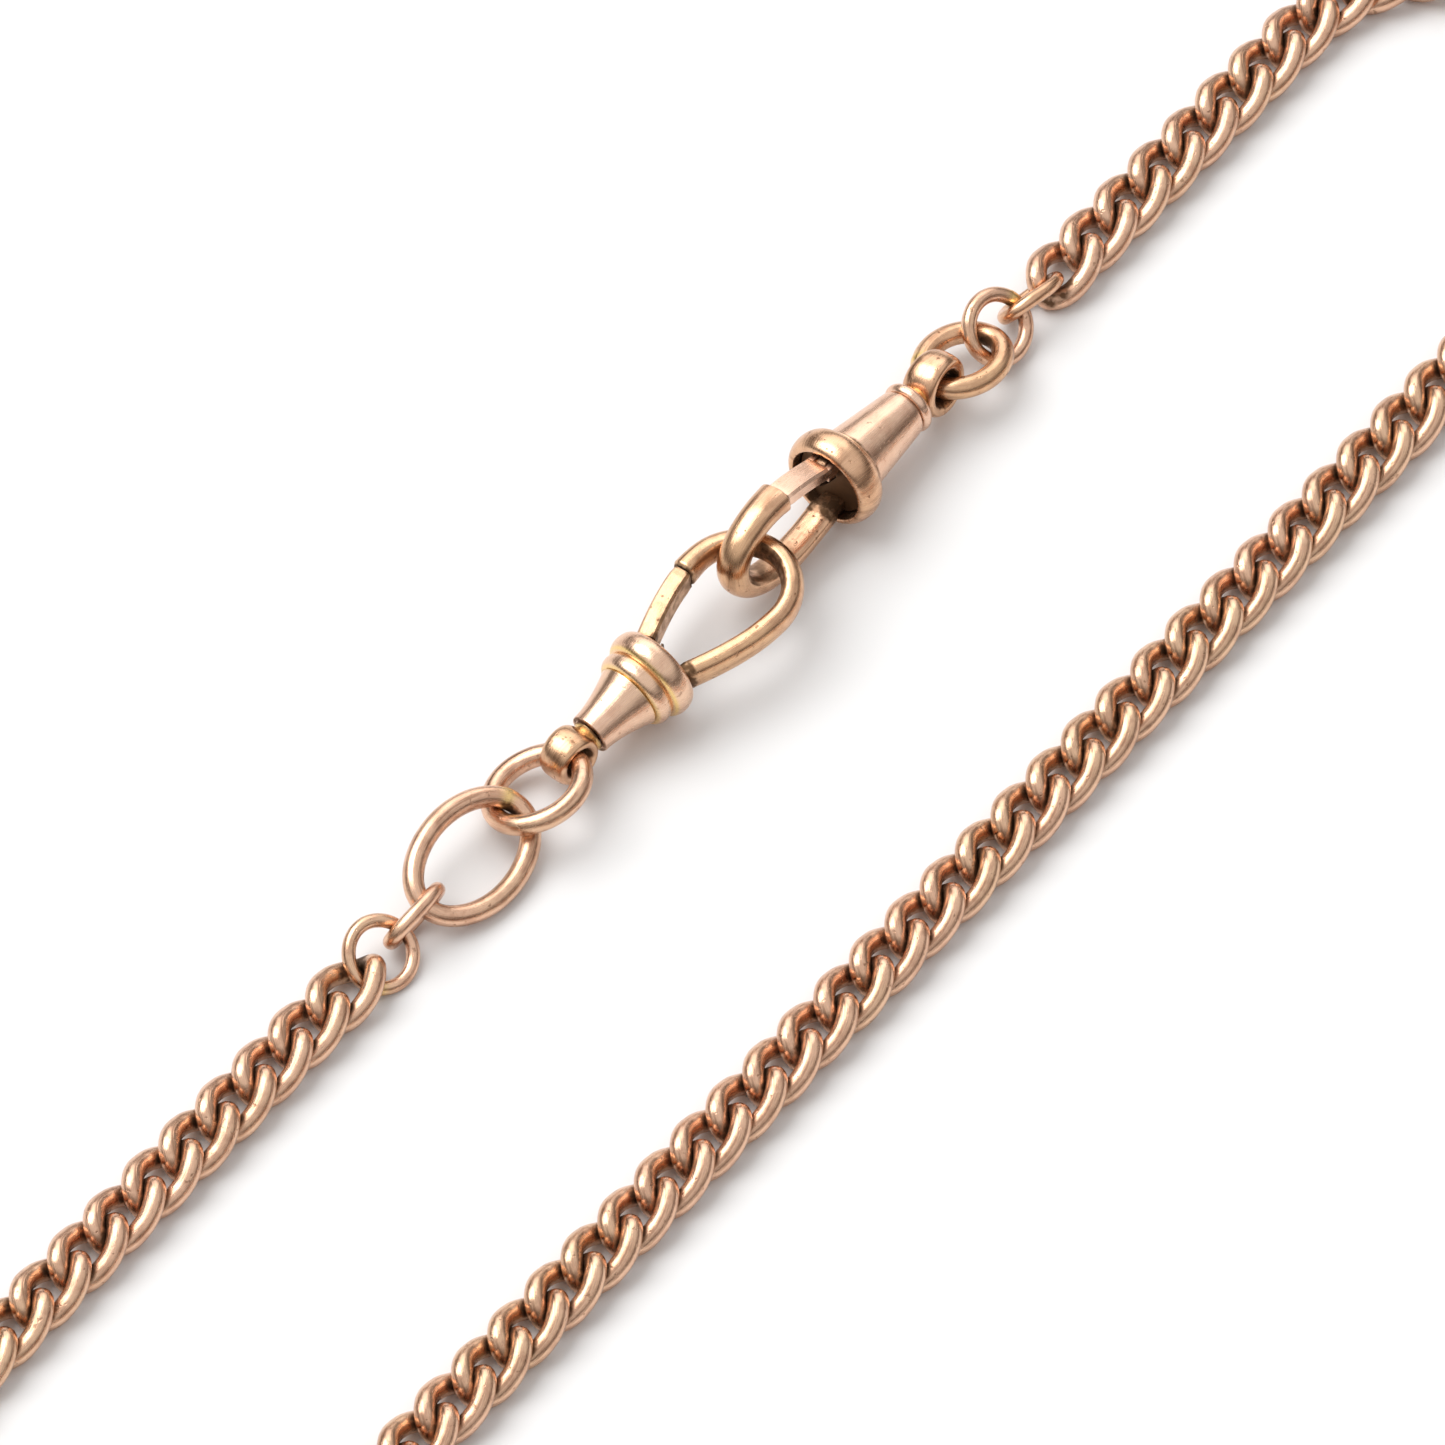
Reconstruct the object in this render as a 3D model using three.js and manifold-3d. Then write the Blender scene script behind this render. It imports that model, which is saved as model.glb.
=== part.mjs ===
// A gentleman's Albert watch chain: a closed loop of twisted curb links whose two ends
// carry swivel dog clips, hooked into each other, laid out flat as a long narrow loop.
//
// Frame: millimetres, +Z up, the table at z = 0. +X runs along the strand with the clips,
// from the lower clip to the upper clip; +Y points from the plain strand to the clip strand.
// The origin is the middle of the loop's footprint.
import * as THREE from "three";
import { mergeVertices } from "three/addons/utils/BufferGeometryUtils.js";
import Module from "manifold-3d";

// ---------- Driving dimensions ----------

const strandSpacing = 27.8; // between the two straight strands
const hookOffset = 10.2; // hooked tips, from the middle of the clip strand

const curb = {
  pitch: 4.0,
  wire: 1.16,
  halfWidth: 1.74, // of the wire's centre line
  twist: -52, // degrees at each end of the link
  count: 78, // in the whole loop
  perStretch: 3, // links joined in one piece, away from the clips
  lower: 10, // single links that carry on from the lower clip's rings
  lowerStretches: 1,
  upper: 8, // single links that carry on from the upper clip's rings
  upperStretches: 18,
  tail: 1, // single link at the far end of the upper clip's side
};

// Rings and plain links between each clip's eye and the curb links, in order from the eye.
// halfLength and halfWidth are those of the wire's centre line, roll is about the strand,
// and join is the height of the crossing with the piece before.
const upperRings = [
  { name: "upper_thick_ring", halfLength: 3.22, halfWidth: 2.72, wire: 1.65, roll: -10, join: 3.0 },
  { name: "upper_small_ring", halfLength: 2.5, halfWidth: 2.4, wire: 1.0, roll: 42, join: 2.2 },
  { name: "upper_oval_link", halfLength: 2.6, halfWidth: 1.8, wire: 0.9, roll: 125, join: 2.3 },
];
const lowerRings = [
  { name: "lower_round_ring", halfLength: 3.5, halfWidth: 3.5, wire: 1.3, roll: -24, join: 2.75 },
  { name: "lower_oval_ring", halfLength: 5.33, halfWidth: 3.43, wire: 1.35, roll: 26, join: 2.2 },
  { name: "lower_oval_link", halfLength: 2.55, halfWidth: 1.55, wire: 1.0, roll: 110, join: 2.2 },
  { name: "lower_small_ring", halfLength: 2.43, halfWidth: 2.43, wire: 0.9, roll: 34, join: 1.8 },
];

// A swivel clip, measured along its axis from the small end of the barrel.
const upperClip = {
  name: "upper",
  barrelLength: 7.9,
  smallRadius: 1.7,
  largeRadius: 2.7,
  beads: [{ at: 0.75, radius: 2.0, width: 1.3 }],
  collarRadius: 3.8,
  collarWidth: 2.7,
  mouthRadius: 2.95,
  recess: 0.85, // depth of the hook's plate inside the mouth
  mouthHalf: 2.0, // legs' centre lines, from the axis, at the mouth
  bellyHalf: 3.0,
  bellyAt: 5.7, // from the mouth
  bowLength: 11.1, // mouth to the outside of the tip
  legWidth: 2.1,
  legThickness: 1.1,
  tipWidth: 2.25,
  tipThickness: 1.5,
  gateLength: 4.9,
  eyeRadius: 2.4,
  eyeBand: 1.1,
  eyeWidth: 2.2,
  seat: { back: 19.0, side: 0.0, height: 3.4, pitch: 4, yaw: 180, roll: 100 },
};
const lowerClip = {
  name: "lower",
  barrelLength: 6.1,
  smallRadius: 1.6,
  largeRadius: 2.65,
  beads: [{ at: 5.0, radius: 3.1, width: 1.5 }],
  collarRadius: 3.55,
  collarWidth: 2.0,
  mouthRadius: 2.85,
  recess: 0.88,
  mouthHalf: 1.75,
  bellyHalf: 3.8,
  bellyAt: 8.0,
  bowLength: 12.7,
  legWidth: 2.1,
  legThickness: 1.4,
  tipWidth: 2.1,
  tipThickness: 1.5,
  gateLength: 6.4,
  eyeRadius: 2.0,
  eyeBand: 0.95,
  eyeWidth: 2.3,
  seat: { back: -17.95, side: -0.15, height: 3.0, pitch: 6, yaw: -3.5, roll: 0 },
};

const pinRadius = 0.3;
const pinDepth = 0.15; // gate pin, behind the mouth's rim
const pinTail = 0.15; // of the gate, behind its pin
const tongueWidth = 0.75; // the ear that the gate's cheeks straddle
const earRim = 0.22; // metal round the pin's hole
const gateBevel = 0.22;
const rootDepth = 0.2; // how far the legs sink into the hook's plate
const springThickness = 0.22;
const springWidth = 1.1;
const springBevel = 0.05;
const springRoot = 1.35; // inwards of the gate, at the plate
const springReach = 1.1; // where the leaf meets the gate, ahead of the mouth
const postRadius = 0.7;
const headRadius = 1.15; // riveted head of the swivel post
const headThickness = 0.45;
const headBevel = 0.2;
const barrelWall = 0.45;
const barrelNeck = 1.0; // thickness of the end that the post passes through
const collarLap = 0.5; // how far the collar reaches back over the barrel
const collarLip = 0.35; // of the collar's back edge, outside the barrel

// ---------- Clearances ----------

const linkGap = 0.3; // play between neighbouring curb links
const ringGap = 0.3; // play between rings that hang in each other
const seatGap = 0.15; // between pieces that are soldered or pressed together
const runningGap = 0.1; // between pieces that turn on each other
const meltDepth = 0.25; // how far the links of a joined stretch sink into each other

// ---------- Joints ----------
// Limits are in degrees.

const linkSwing = 18;
const bendSwing = 6;
const ringSwing = 20;
const hookRise = 30; // the lower clip's swing on the upper clip's tip
const hookDrop = 12;
const rockSide = 1.5; // of the rocking axis, from the lower clip's axis towards its gate
const gateSwing = 22;

const sides = { ring: 6, lathe: 16, band: 8, pin: 8 };
const fineLink = { steps: 12, sides: 6 };
const plainLink = { steps: 10, sides: 5 }; // on the straight stretches
const steps = { ring: 16, bow: 18, gate: 5, eye: 14, spring: 4, bulge: 7 };

// ---------- Materials ----------

const finish = (color, roughness) =>
  new THREE.MeshStandardMaterial({ color, roughness, metalness: 1 });
const roseGold = finish(0xd99a78, 0.25);
const clipGold = finish(0xe0a57f, 0.22);
const wornGold = finish(0xc9986a, 0.32);
const pinGold = finish(0xb98a66, 0.35);
const springSteel = finish(0x6d5f50, 0.4);

// ---------- Solids ----------

const wasm = await Module();
wasm.setup();

const radians = THREE.MathUtils.degToRad;

// A closed geometry, placed by a matrix, as a manifold-3d solid.
function solidOf(geometry, matrix = new THREE.Matrix4()) {
  const bare = geometry.clone();
  bare.deleteAttribute("normal");
  bare.deleteAttribute("uv");
  const merged = mergeVertices(bare.applyMatrix4(matrix), 1e-4);
  return new wasm.Manifold(
    new wasm.Mesh({
      numProp: 3,
      vertProperties: merged.attributes.position.array,
      triVerts: new Uint32Array(merged.index.array),
    }),
  );
}

function geometryOf(solid) {
  const mesh = solid.getMesh();
  return new THREE.BufferGeometry()
    .setAttribute("position", new THREE.BufferAttribute(mesh.vertProperties, 3))
    .setIndex(new THREE.BufferAttribute(mesh.triVerts, 1));
}

// A named mesh of a solid. The material is copied, so that each piece has its own.
function piece(name, solid, material) {
  const geometry = geometryOf(solid);
  geometry.computeVertexNormals();
  const mesh = new THREE.Mesh(geometry, material.clone());
  mesh.name = name;
  return mesh;
}

// A curve through rings of points, closed by flat ends. Each station has its point, the
// direction of the path there and the section's [side, up] points, counterclockwise as seen
// from ahead; up is the local z axis, because every path here is flat.
function sweep(stations) {
  const positions = [];
  const index = [];
  const up = new THREE.Vector3(0, 0, 1);
  const sideways = new THREE.Vector3();
  for (const { point, tangent, section } of stations) {
    sideways.crossVectors(up, tangent).normalize();
    for (const [s, u] of section) {
      const at = point.clone().addScaledVector(sideways, s).addScaledVector(up, u);
      positions.push(at.x, at.y, at.z);
    }
  }
  const n = stations[0].section.length;
  const last = (stations.length - 1) * n;
  for (let k = 0; k + 1 < stations.length; k++)
    for (let i = 0; i < n; i++) {
      const a = k * n + i;
      const b = k * n + ((i + 1) % n);
      index.push(a, b, b + n, a, b + n, a + n);
    }
  for (let i = 1; i + 1 < n; i++) {
    index.push(0, i + 1, i);
    index.push(last, last + i, last + i + 1);
  }
  return new THREE.BufferGeometry()
    .setAttribute("position", new THREE.Float32BufferAttribute(positions, 3))
    .setIndex(index);
}

// An oval section of a wire or band.
function oval(width, height, count = sides.band) {
  return Array.from({ length: count }, (_, i) => {
    const angle = ((i + 0.5) / count) * 2 * Math.PI;
    const stretch = 1 / Math.cos(Math.PI / count);
    return [(width / 2) * stretch * Math.cos(angle), (height / 2) * stretch * Math.sin(angle)];
  });
}

// A rectangle with its corners taken off.
function bar(width, height, corner) {
  const x = width / 2;
  const y = height / 2;
  return [
    [x, corner - y],
    [x, y - corner],
    [x - corner, y],
    [corner - x, y],
    [-x, y - corner],
    [-x, corner - y],
    [corner - x, -y],
    [x - corner, -y],
  ];
}

// A solid of revolution about the local x axis, from [x, radius] points whose outside runs
// towards +x, and which close on themselves or start and end on the axis.
function turned(profile, count = sides.lathe) {
  const points = profile.map(([x, radius]) => new THREE.Vector2(radius, x));
  if (profile[0][1] > 0) points.push(points[0].clone());
  return solidOf(new THREE.LatheGeometry(points, count).rotateZ(-Math.PI / 2));
}

// A round bar along the local z axis.
function roundBar(x, y, radius, length, count = sides.pin) {
  const geometry = new THREE.CylinderGeometry(radius, radius, length, count);
  return solidOf(geometry.rotateX(Math.PI / 2).translate(x, y, 0));
}

// A box from its [low, high] spans.
function block(...spans) {
  const geometry = new THREE.BoxGeometry(...spans.map(([low, high]) => high - low));
  return solidOf(geometry.translate(...spans.map(([low, high]) => (low + high) / 2)));
}

// ---------- Links and rings ----------

// The centre line of a link: an oval along x whose plane turns as it goes from end to end.
class LinkCurve extends THREE.Curve {
  constructor(startLength, endLength, halfWidth, twist) {
    super();
    Object.assign(this, { startLength, endLength, halfWidth, twist });
  }
  getPoint(t, target = new THREE.Vector3()) {
    const angle = 2 * Math.PI * t;
    const along = Math.cos(angle);
    const across = this.halfWidth * Math.sin(angle);
    const lean = this.twist * along;
    const reach = along > 0 ? this.endLength : this.startLength;
    return target.set(reach * along, across * Math.cos(lean), across * Math.sin(lean));
  }
}

const curbHalf = (curb.pitch + linkGap) / 2 + curb.wire / 2; // centre line, half length
const joinedHalf = (curb.pitch - meltDepth) / 2 + curb.wire / 2;

function curbSolid(startLength, endLength, detail) {
  const curve = new LinkCurve(startLength, endLength, curb.halfWidth, radians(curb.twist));
  const radius = curb.wire / 2;
  return solidOf(new THREE.TubeGeometry(curve, detail.steps, radius, detail.sides, true));
}

function ringSolid({ halfLength, halfWidth, wire }) {
  const curve = new LinkCurve(halfLength, halfLength, halfWidth, 0);
  return solidOf(new THREE.TubeGeometry(curve, steps.ring, wire / 2, sides.ring, true));
}

const singleLink = curbSolid(curbHalf, curbHalf, fineLink);
const curbHeight = -singleLink.boundingBox().min[2]; // of the middle line, on the table

// ---------- The loop's route ----------

// Two straights joined by half circles, followed clockwise from the hooked tips.
const turnRadius = strandSpacing / 2;
const ringsLength = (rings, next) =>
  rings.reduce((sum, ring) => sum + 2 * ring.halfLength, 0) -
  rings.reduce((sum, ring, i) => {
    const after = rings[i + 1] ? rings[i + 1].wire : next;
    return sum + (ring.wire + after) / 2 + ringGap;
  }, 0);

// The middle of a clip's eye, behind the barrel's small end.
const eyeReach = (clip) => clip.eyeRadius + 2 * runningGap;

// Where the wire of the first ring crosses a clip's eye, along the strand.
function eyeCrossing({ seat, eyeRadius }) {
  const reach = eyeReach({ eyeRadius }) * Math.cos(radians(seat.pitch));
  return seat.back + Math.sign(seat.back) * reach;
}

const upperStart = eyeCrossing(upperClip);
const lowerStart = eyeCrossing(lowerClip);
const firstUpperCurb = upperStart + ringsLength(upperRings, curb.wire) + curbHalf;
const firstLowerCurb = lowerStart - ringsLength(lowerRings, curb.wire) - curbHalf;
const loopLength = firstUpperCurb - firstLowerCurb + (curb.count - 1) * curb.pitch;
const straight = (loopLength - 2 * Math.PI * turnRadius) / 2;

// A distance along the route as counted from the middle of the clip strand, whichever way
// round is shorter.
function fromStrandMiddle(distance) {
  const ahead = distance + hookOffset;
  return ahead - loopLength * Math.round(ahead / loopLength);
}

// The frame at a distance along the route: x ahead, z up, y to the left.
function routeFrame(distance, height) {
  const s = fromStrandMiddle(distance);
  const turn = Math.PI * turnRadius;
  const side = s >= 0 ? 1 : -1;
  const beyond = Math.abs(s) - straight / 2;
  let x = s;
  let y = turnRadius;
  let heading = 0;
  if (beyond > turn) {
    x = side * (straight / 2 - (beyond - turn));
    y = -turnRadius;
    heading = side * Math.PI;
  } else if (beyond > 0) {
    heading = (side * beyond) / turnRadius;
    x = side * (straight / 2 + turnRadius * Math.sin(beyond / turnRadius));
    y = turnRadius * Math.cos(beyond / turnRadius);
  }
  return new THREE.Matrix4().makeRotationZ(-heading).setPosition(x, y, height);
}

// Whether a link at a distance along the route is on a bend or next to one.
function isBend(distance) {
  const beyond = Math.abs(fromStrandMiddle(distance)) - straight / 2;
  return beyond > -curb.pitch && beyond < Math.PI * turnRadius + curb.pitch;
}

// ---------- Bodies and joints ----------

const chain = new THREE.Group();
export const joints = [];
export const bodyNodes = {};

// A rigid body: the meshes that move together, in the chain's frame.
function body(name, meshes, matrix) {
  const group = new THREE.Group();
  group.applyMatrix4(matrix);
  group.add(...meshes);
  chain.add(group);
  bodyNodes[name] = meshes.map((mesh) => mesh.name);
}

// A hinge between two bodies, with its pivot and axis in the given frame.
function hinge(name, parent, child, frame, pivot, axis, range) {
  joints.push({
    name,
    parent,
    child,
    pivot: pivot.clone().applyMatrix4(frame),
    axis: axis.clone().transformDirection(frame),
    range,
  });
}

// ---------- Swivel clip ----------

// The bow's centre line in the clip's frame, from the gate's root round the tip to the fixed
// leg's root: each leg swings out from the mouth to the belly, and the tip is half an oval.
class BowCurve extends THREE.Curve {
  constructor(clip) {
    super();
    this.clip = clip;
    this.mouth = clip.barrelLength + clip.collarWidth - collarLap;
    this.tipReach = clip.bowLength - clip.tipThickness / 2 - clip.bellyAt;
  }
  getPoint(t, target = new THREE.Vector3()) {
    const { mouthHalf, bellyHalf, bellyAt } = this.clip;
    if (t > 1 / 3 && t < 2 / 3) {
      const angle = Math.PI * (3 * t - 1.5);
      return target.set(
        this.mouth + bellyAt + this.tipReach * Math.cos(angle),
        -bellyHalf * Math.sin(angle),
        0,
      );
    }
    const share = 3 * Math.min(t, 1 - t);
    const side = t < 0.5 ? 1 : -1;
    const spread = mouthHalf + (bellyHalf - mouthHalf) * Math.sin((Math.PI / 2) * share);
    return target.set(this.mouth + bellyAt * share, side * spread, 0);
  }
  // Stations from one parameter to another, with a section that may change on the way.
  stations(from, to, count, sectionAt) {
    return Array.from({ length: count + 1 }, (_, i) => {
      const t = from + ((to - from) * i) / count;
      return { point: this.getPoint(t), tangent: this.getTangent(t), section: sectionAt(t) };
    });
  }
}

function bowSection(clip, t) {
  const tipShare = Math.sin(Math.PI * THREE.MathUtils.clamp(1.5 * t - 0.25, 0, 1));
  return oval(
    THREE.MathUtils.lerp(clip.legThickness, clip.tipThickness, tipShare),
    THREE.MathUtils.lerp(clip.legWidth, clip.tipWidth, tipShare),
  );
}

// The profile of a half-round moulding, centred at x, that rises from its feet to a radius.
function bulge(x, width, backFoot, frontFoot, radius) {
  return Array.from({ length: steps.bulge + 1 }, (_, i) => {
    const angle = (Math.PI * i) / steps.bulge;
    const foot = THREE.MathUtils.lerp(backFoot, frontFoot, i / steps.bulge);
    return [x - (width / 2) * Math.cos(angle), foot + (radius - foot) * Math.sin(angle)];
  });
}

function barrelSolid(clip) {
  const { barrelLength, smallRadius, largeRadius, beads } = clip;
  const bore = postRadius + runningGap;
  const shell = turned([
    [0, bore],
    [0, smallRadius - headBevel],
    [headBevel, smallRadius],
    [barrelLength, largeRadius],
    [barrelLength, largeRadius - barrelWall],
    [barrelNeck + headThickness, headRadius + runningGap],
    [barrelNeck, headRadius + runningGap],
    [barrelNeck, bore],
  ]);
  return beads.reduce((sum, { at, width, radius }) => {
    const coneRadius = THREE.MathUtils.lerp(smallRadius, largeRadius, at / barrelLength);
    const foot = coneRadius - barrelWall / 2;
    return sum.add(turned(bulge(at, width, foot, foot, radius)));
  }, shell);
}

function collarSolid(clip) {
  const { barrelLength, collarWidth, collarRadius, mouthRadius, largeRadius } = clip;
  const x0 = barrelLength - collarLap;
  const x1 = x0 + collarWidth;
  const rear = largeRadius + seatGap;
  const ledge = barrelLength + seatGap;
  return turned([
    ...bulge((x0 + x1) / 2, collarWidth, largeRadius + collarLip, mouthRadius, collarRadius),
    [ledge, mouthRadius],
    [ledge, rear],
    [x0, rear],
  ]);
}

function hookSolid(clip, curve) {
  const { mouthHalf, mouthRadius, recess, barrelLength, bellyAt } = clip;
  const plateFront = curve.mouth - recess;
  const plateBack = barrelLength + seatGap;
  const plateRadius = mouthRadius - seatGap;
  const plate = turned([
    [plateBack, 0],
    [plateBack, plateRadius],
    [plateFront, plateRadius],
    [plateFront, 0],
  ]);
  const seam = gateEnd(clip) + seatGap / (3 * bellyAt);
  const bow = curve.stations(seam, 1, steps.bow, (t) => bowSection(clip, t));
  const rootX = plateFront - rootDepth;
  bow.push({
    point: new THREE.Vector3(rootX, -mouthHalf, 0),
    tangent: new THREE.Vector3(-1, 0, 0),
    section: bowSection(clip, 1),
  });
  const pinX = curve.mouth - pinDepth;
  const earReach = pinRadius + earRim;
  const tongue = [-tongueWidth / 2, tongueWidth / 2];
  const ear = block([rootX, pinX], [mouthHalf - earReach, mouthHalf + earReach], tongue)
    .add(roundBar(pinX, mouthHalf, earReach, tongueWidth))
    .subtract(roundBar(pinX, mouthHalf, pinRadius + runningGap / 2, 2 * tongueWidth));
  return plate.add(solidOf(sweep(bow))).add(ear);
}

// The bow curve's parameter at the gate's free end.
const gateEnd = (clip) => clip.gateLength / clip.bellyAt / 3;

function gateSolid(clip, curve) {
  const { mouthHalf, legThickness, legWidth } = clip;
  const pinX = curve.mouth - pinDepth;
  const tailX = pinX - pinRadius - pinTail;
  const section = bar(legThickness, legWidth, gateBevel);
  const stations = curve.stations(0, gateEnd(clip), steps.gate, () => section);
  stations.unshift({
    point: new THREE.Vector3(tailX, mouthHalf, 0),
    tangent: new THREE.Vector3(1, 0, 0),
    section,
  });
  const slot = tongueWidth / 2 + runningGap;
  const slotEnd = pinX + pinRadius + earRim + 2 * runningGap;
  const across = [mouthHalf - legThickness, mouthHalf + legThickness];
  return solidOf(sweep(stations))
    .subtract(block([tailX - runningGap, slotEnd], across, [-slot, slot]))
    .subtract(roundBar(pinX, mouthHalf, pinRadius + runningGap, 2 * legWidth, 2 * sides.pin));
}

function pinSolid(clip, curve) {
  return roundBar(curve.mouth - pinDepth, clip.mouthHalf, pinRadius, clip.legWidth);
}

// A leaf that springs from the plate and bears on the gate's inner face.
function springSolid(clip, curve) {
  const { mouthHalf, legThickness, recess } = clip;
  const rootX = curve.mouth - recess + seatGap;
  const gateInside = mouthHalf - (legThickness + springThickness) / 2 - runningGap;
  const leaf = new THREE.QuadraticBezierCurve3(
    new THREE.Vector3(rootX, mouthHalf - springRoot, 0),
    new THREE.Vector3(curve.mouth, mouthHalf - springRoot, 0),
    new THREE.Vector3(curve.mouth + springReach, gateInside, 0),
  );
  const section = bar(springThickness, springWidth, springBevel);
  const stations = Array.from({ length: steps.spring + 1 }, (_, i) => {
    const t = i / steps.spring;
    return { point: leaf.getPoint(t), tangent: leaf.getTangent(t), section };
  });
  return solidOf(sweep(stations));
}

// The swivel eye: a broad band bent round a hole, on a post whose riveted head turns
// inside the barrel's small end.
function eyeSolid(clip) {
  const middle = clip.eyeRadius - clip.eyeBand / 2;
  const centre = -eyeReach(clip);
  const band = oval(clip.eyeBand, clip.eyeWidth).map(
    ([radial, along]) => new THREE.Vector2(middle + radial, along),
  );
  band.push(band[0].clone());
  const ring = new THREE.LatheGeometry(band, steps.eye);
  const headStart = barrelNeck + runningGap;
  const foot = centre + middle; // inside the band
  const post = turned(
    [
      [foot, 0],
      [foot, postRadius],
      [headStart, postRadius],
      [headStart, headRadius],
      [headStart + headThickness, headRadius - headBevel],
      [headStart + headThickness, 0],
    ],
    sides.pin,
  );
  return solidOf(ring, new THREE.Matrix4().makeTranslation(centre, 0, 0)).add(post);
}

// The clip's frame: x from the barrel's small end to the tip, y towards the gate.
function clipFrame(clip) {
  const { back, side, height, pitch, yaw, roll } = clip.seat;
  const turn = new THREE.Matrix4()
    .makeRotationZ(radians(yaw))
    .multiply(new THREE.Matrix4().makeRotationY(-radians(pitch)))
    .multiply(new THREE.Matrix4().makeRotationX(radians(roll)));
  return routeFrame(back, height).multiply(
    new THREE.Matrix4().makeTranslation(0, side, 0).multiply(turn),
  );
}

function makeClip(clip, eyeRoll) {
  const curve = new BowCurve(clip);
  const frame = clipFrame(clip);
  const label = (part) => clip.name + "_" + part;
  const parts = {
    barrel: piece(label("barrel"), barrelSolid(clip), clipGold),
    collar: piece(label("collar"), collarSolid(clip), wornGold),
    hook: piece(label("hook"), hookSolid(clip, curve), wornGold),
    pin: piece(label("gate_pin"), pinSolid(clip, curve), pinGold),
    spring: piece(label("gate_spring"), springSolid(clip, curve), springSteel),
    gate: piece(label("gate"), gateSolid(clip, curve), clipGold),
    eye: piece(label("swivel_eye"), eyeSolid(clip), wornGold),
  };
  const names = { main: label("clip"), gate: label("gate"), eye: label("eye") };
  body(names.main, [parts.barrel, parts.collar, parts.hook, parts.pin, parts.spring], frame);
  body(names.gate, [parts.gate], frame);
  const eyeTurn = new THREE.Matrix4().makeRotationX(radians(eyeRoll));
  body(names.eye, [parts.eye], frame.clone().multiply(eyeTurn));
  hinge(
    clip.name + "_gate_hinge",
    names.main,
    names.gate,
    frame,
    new THREE.Vector3(curve.mouth - pinDepth, clip.mouthHalf, 0),
    new THREE.Vector3(0, 0, -1),
    [0, gateSwing],
  );
  hinge(
    clip.name + "_swivel",
    names.main,
    names.eye,
    frame,
    new THREE.Vector3(0, 0, 0),
    new THREE.Vector3(1, 0, 0),
    null,
  );
  return { frame, curve, names, eyeTurn };
}

// ---------- Assembly ----------

// The upper clip's bow stands on edge, so its eye is turned back by the bow's roll; the
// hole then lies across the strand, leaning with the first ring.
const upper = makeClip(upperClip, -upperClip.seat.roll - upperRings[0].roll);
const lower = makeClip(lowerClip, -lowerClip.seat.roll + lowerRings[0].roll);

hinge(
  "clip_rock",
  "upper_clip",
  "lower_clip",
  lower.frame,
  new THREE.Vector3(
    lower.curve.mouth + lowerClip.bowLength - lowerClip.tipThickness,
    rockSide,
    0,
  ),
  new THREE.Vector3(0, 1, 0),
  [-hookDrop, hookRise],
);

// Rings from a clip's eye to the curb links. way is 1 towards +x and -1 towards -x.
function layRings(rings, start, way, parent, nextJoin) {
  let at = start;
  let before = parent;
  rings.forEach((ring, i) => {
    const after = rings[i + 1] ? rings[i + 1].join : nextJoin;
    const pitch = Math.asin((after - ring.join) / (2 * ring.halfLength));
    const frame = routeFrame(at + way * ring.halfLength, (ring.join + after) / 2)
      .multiply(new THREE.Matrix4().makeRotationY(-way * pitch))
      .multiply(new THREE.Matrix4().makeRotationX(radians(ring.roll)));
    body(ring.name, [piece(ring.name, ringSolid(ring), roseGold)], frame);
    hinge(
      ring.name + "_swing",
      before,
      ring.name,
      frame,
      new THREE.Vector3(-way * ring.halfLength, 0, 0),
      new THREE.Vector3(0, i % 2 ? way : -way, 0),
      [-ringSwing, ringSwing],
    );
    const nextWire = rings[i + 1] ? rings[i + 1].wire : curb.wire;
    at += way * (2 * ring.halfLength - (ring.wire + nextWire) / 2 - ringGap);
    before = ring.name;
  });
  return before;
}

const upperLast = layRings(upperRings, upperStart, 1, upper.names.eye, curbHeight);
const lowerLast = layRings(lowerRings, lowerStart, -1, lower.names.eye, curbHeight);

// Curb links one after another. way is 1 or -1, sizes has the number of links in each node.
function layCurb(label, first, way, parent, sizes) {
  let at = first;
  let before = parent;
  sizes.forEach((size, index) => {
    const name = label + "_" + String(index + 1).padStart(2, "0");
    const middle = at + (way * (size - 1) * curb.pitch) / 2;
    const frame = routeFrame(middle, curbHeight);
    const inverse = frame.clone().invert();
    let solid = null;
    for (let k = 0; k < size; k++) {
      const link = routeFrame(at + way * k * curb.pitch, curbHeight);
      const joinedBefore = k > 0;
      const joinedAfter = k + 1 < size;
      const back = way > 0 ? joinedBefore : joinedAfter;
      const front = way > 0 ? joinedAfter : joinedBefore;
      const detail = size > 1 && !isBend(middle) ? plainLink : fineLink;
      const one = curbSolid(back ? joinedHalf : curbHalf, front ? joinedHalf : curbHalf, detail);
      const placed = one.transform(inverse.clone().multiply(link).elements);
      solid = solid ? solid.add(placed) : placed;
    }
    body(name, [piece(name, solid, roseGold)], frame);
    const own = index % 2 === 0; // rocks on its own end wire, or on the one before
    const near = routeFrame(own ? at : at - way * curb.pitch, curbHeight);
    const end = own ? -way : way;
    const lean = radians(curb.twist) * end;
    const swing = isBend(at) ? bendSwing : linkSwing;
    const sign = index % 4 < 2 ? 1 : -1;
    hinge(
      name + "_rock",
      before,
      name,
      near,
      new THREE.Vector3(end * curbHalf, 0, 0),
      new THREE.Vector3(0, sign * Math.cos(lean), sign * Math.sin(lean)),
      [-swing, swing],
    );
    at += way * size * curb.pitch;
    before = name;
  });
}

const ones = (count) => Array(count).fill(1);
const stretches = (count) => Array(count).fill(curb.perStretch);
layCurb("lower_curb", firstLowerCurb, -1, lowerLast, [
  ...ones(curb.lower),
  ...stretches(curb.lowerStretches),
]);
layCurb("upper_curb", firstUpperCurb, 1, upperLast, [
  ...ones(curb.upper),
  ...stretches(curb.upperStretches),
  ...ones(curb.tail),
]);

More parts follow.
